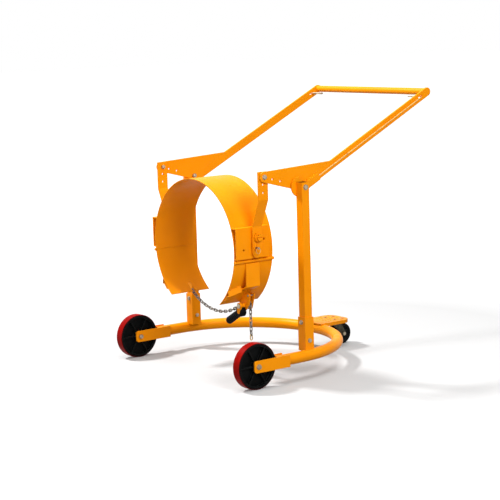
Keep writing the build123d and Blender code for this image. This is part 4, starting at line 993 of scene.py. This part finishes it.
for side, sign in (("near", 1), ("far", -1)):
    bm = bmesh.new()
    for fall in STRIP_FALLS:
        x, z = on_drum(STRIP_BEAD_R, fall, sign)
        for start, end in STRIP_STITCHES:
            weld(bm, [(x, start, z), (x, end, z)], (0, 0, 1), STRIP_BEAD)
    for start in BRACKET_STARTS:
        seam = []
        for k in range(BRACKET_POINTS):
            share = start + k * BRACKET_STEP
            x, z = on_drum(BRACKET_BEAD_R, BRACKET_FALL - BRACKET_CLIMB * share, sign)
            seam.append((x, SADDLE_FRONT + share * (STRIP_FRONT - SADDLE_FRONT), z))
        weld(bm, seam, (0, 0, 1), BRACKET_BEAD)
    piece(f"{side}_jaw_welds", bm, f"{side}_jaw", PAINTED)


# Floor, light and camera, in metres
FLOOR_HALF = 40.0
FLOOR_GLOW = 0.07
FLOOR_SEEN = (0.53, 0.53, 0.53)
FLOOR_BOUNCE = (0.23, 0.23, 0.23)
FADE_START = 1.3
FADE_END = 3.2
WHITE = (1, 1, 1, 1)
AMBIENT = 0.25


def camera_like(tree):
    """1 for rays from the camera, reflections and glass, 0 for light that falls on the object."""
    path = add(tree, "ShaderNodeLightPath")
    seen = figure(tree, "MAXIMUM", path.outputs["Is Camera Ray"], path.outputs["Is Glossy Ray"])
    return figure(tree, "MAXIMUM", seen, path.outputs["Is Transmission Ray"])


def make_floor():
    """Pale floor that keeps shadows near the object and turns white further off."""
    mat, tree, bsdf = shader("pale_floor", FLOOR_SEEN, roughness=0.9, gloss=0.0)
    colour = mix_colour(tree, camera_like(tree), FLOOR_BOUNCE, FLOOR_SEEN)
    tree.links.new(colour, bsdf.inputs["Base Color"])
    where = add(tree, "ShaderNodeTexCoord")
    far_off = add(tree, "ShaderNodeVectorMath", operation="LENGTH")
    tree.links.new(where.outputs["Object"], far_off.inputs[0])
    distance = far_off.outputs["Value"]
    fade = spread(tree, distance, low=FLOOR_GLOW, high=1.0, start=FADE_START, end=FADE_END)
    glow = add(tree, "ShaderNodeEmission")
    glow.inputs["Color"].default_value = WHITE
    tree.links.new(figure(tree, "MULTIPLY", camera_like(tree), fade), glow.inputs["Strength"])
    total = add(tree, "ShaderNodeAddShader")
    tree.links.new(bsdf.outputs[0], total.inputs[0])
    tree.links.new(glow.outputs[0], total.inputs[1])
    tree.links.new(total.outputs[0], tree.nodes["Material Output"].inputs["Surface"])
    return mat


corners = [(x * FLOOR_HALF, y * FLOOR_HALF, 0) for x, y in ((-1, -1), (1, -1), (1, 1), (-1, 1))]
floor_data = bpy.data.meshes.new("floor")
floor_data.from_pydata(corners, [], [(0, 1, 2, 3)])
floor_data.materials.append(make_floor())
floor = bpy.data.objects.new("floor", floor_data)
bpy.context.scene.collection.objects.link(floor)

world = bpy.data.worlds.new("studio")
bpy.context.scene.world = world
world.use_nodes = True
tree = world.node_tree
background = tree.nodes["Background"]
background.inputs["Color"].default_value = WHITE
strength = spread(tree, camera_like(tree), low=AMBIENT, high=1.0, start=0.0, end=1.0)
tree.links.new(strength, background.inputs["Strength"])


def lamp(name, place, target, power, size):
    """Square area lamp that points at a target."""
    data = bpy.data.lights.new(name, "AREA")
    data.shape = "RECTANGLE"
    data.size = size
    data.size_y = size
    data.energy = power
    obj = bpy.data.objects.new(name, data)
    turn = (Vector(target) - Vector(place)).to_track_quat("-Z", "Y").to_matrix().to_4x4()
    obj.matrix_world = Matrix.Translation(Vector(place)) @ turn
    bpy.context.scene.collection.objects.link(obj)


lamp("key", (-2.7, -1.7, 4.5), (0, 0, 0.4), power=350, size=0.7)
lamp("top", (0.5, 0.3, 5.2), (0, 0, 0.4), power=135, size=2.6)
lamp("fill", (4.0, -0.8, 2.7), (0, 0, 0.6), power=130, size=1.8)
lamp("front", (2.2, -4.6, 1.4), (0, 0, 0.4), power=56, size=2.4)

CAMERA_PLACE = (5.30479, -4.18576, 1.48007)
CAMERA_AZIMUTH = radians(52.7884)
CAMERA_RISE = radians(8.4450)
CAMERA_ROLL = radians(-1.6721)
CAMERA_LENS = 111.19
CAMERA_SENSOR = 36.0
CAMERA_CLIP = 200.0
back_x = sin(CAMERA_AZIMUTH) * cos(CAMERA_RISE)
back_y = -cos(CAMERA_AZIMUTH) * cos(CAMERA_RISE)
back = Vector((back_x, back_y, sin(CAMERA_RISE)))
right = Vector((cos(CAMERA_AZIMUTH), sin(CAMERA_AZIMUTH), 0))
up = back.cross(right)
rolled_right = cos(CAMERA_ROLL) * right + sin(CAMERA_ROLL) * up
rolled_up = -sin(CAMERA_ROLL) * right + cos(CAMERA_ROLL) * up
camera_data = bpy.data.cameras.new("camera")
camera_data.sensor_width = CAMERA_SENSOR
camera_data.lens = CAMERA_LENS
camera_data.clip_end = CAMERA_CLIP
camera = bpy.data.objects.new("camera", camera_data)
camera_turn = Matrix((rolled_right, rolled_up, back)).transposed().to_4x4()
camera.matrix_world = Matrix.Translation(Vector(CAMERA_PLACE)) @ camera_turn
bpy.context.scene.collection.objects.link(camera)
bpy.context.scene.camera = camera
bpy.context.scene.view_settings.view_transform = "Standard"

bpy.context.view_layer.update()
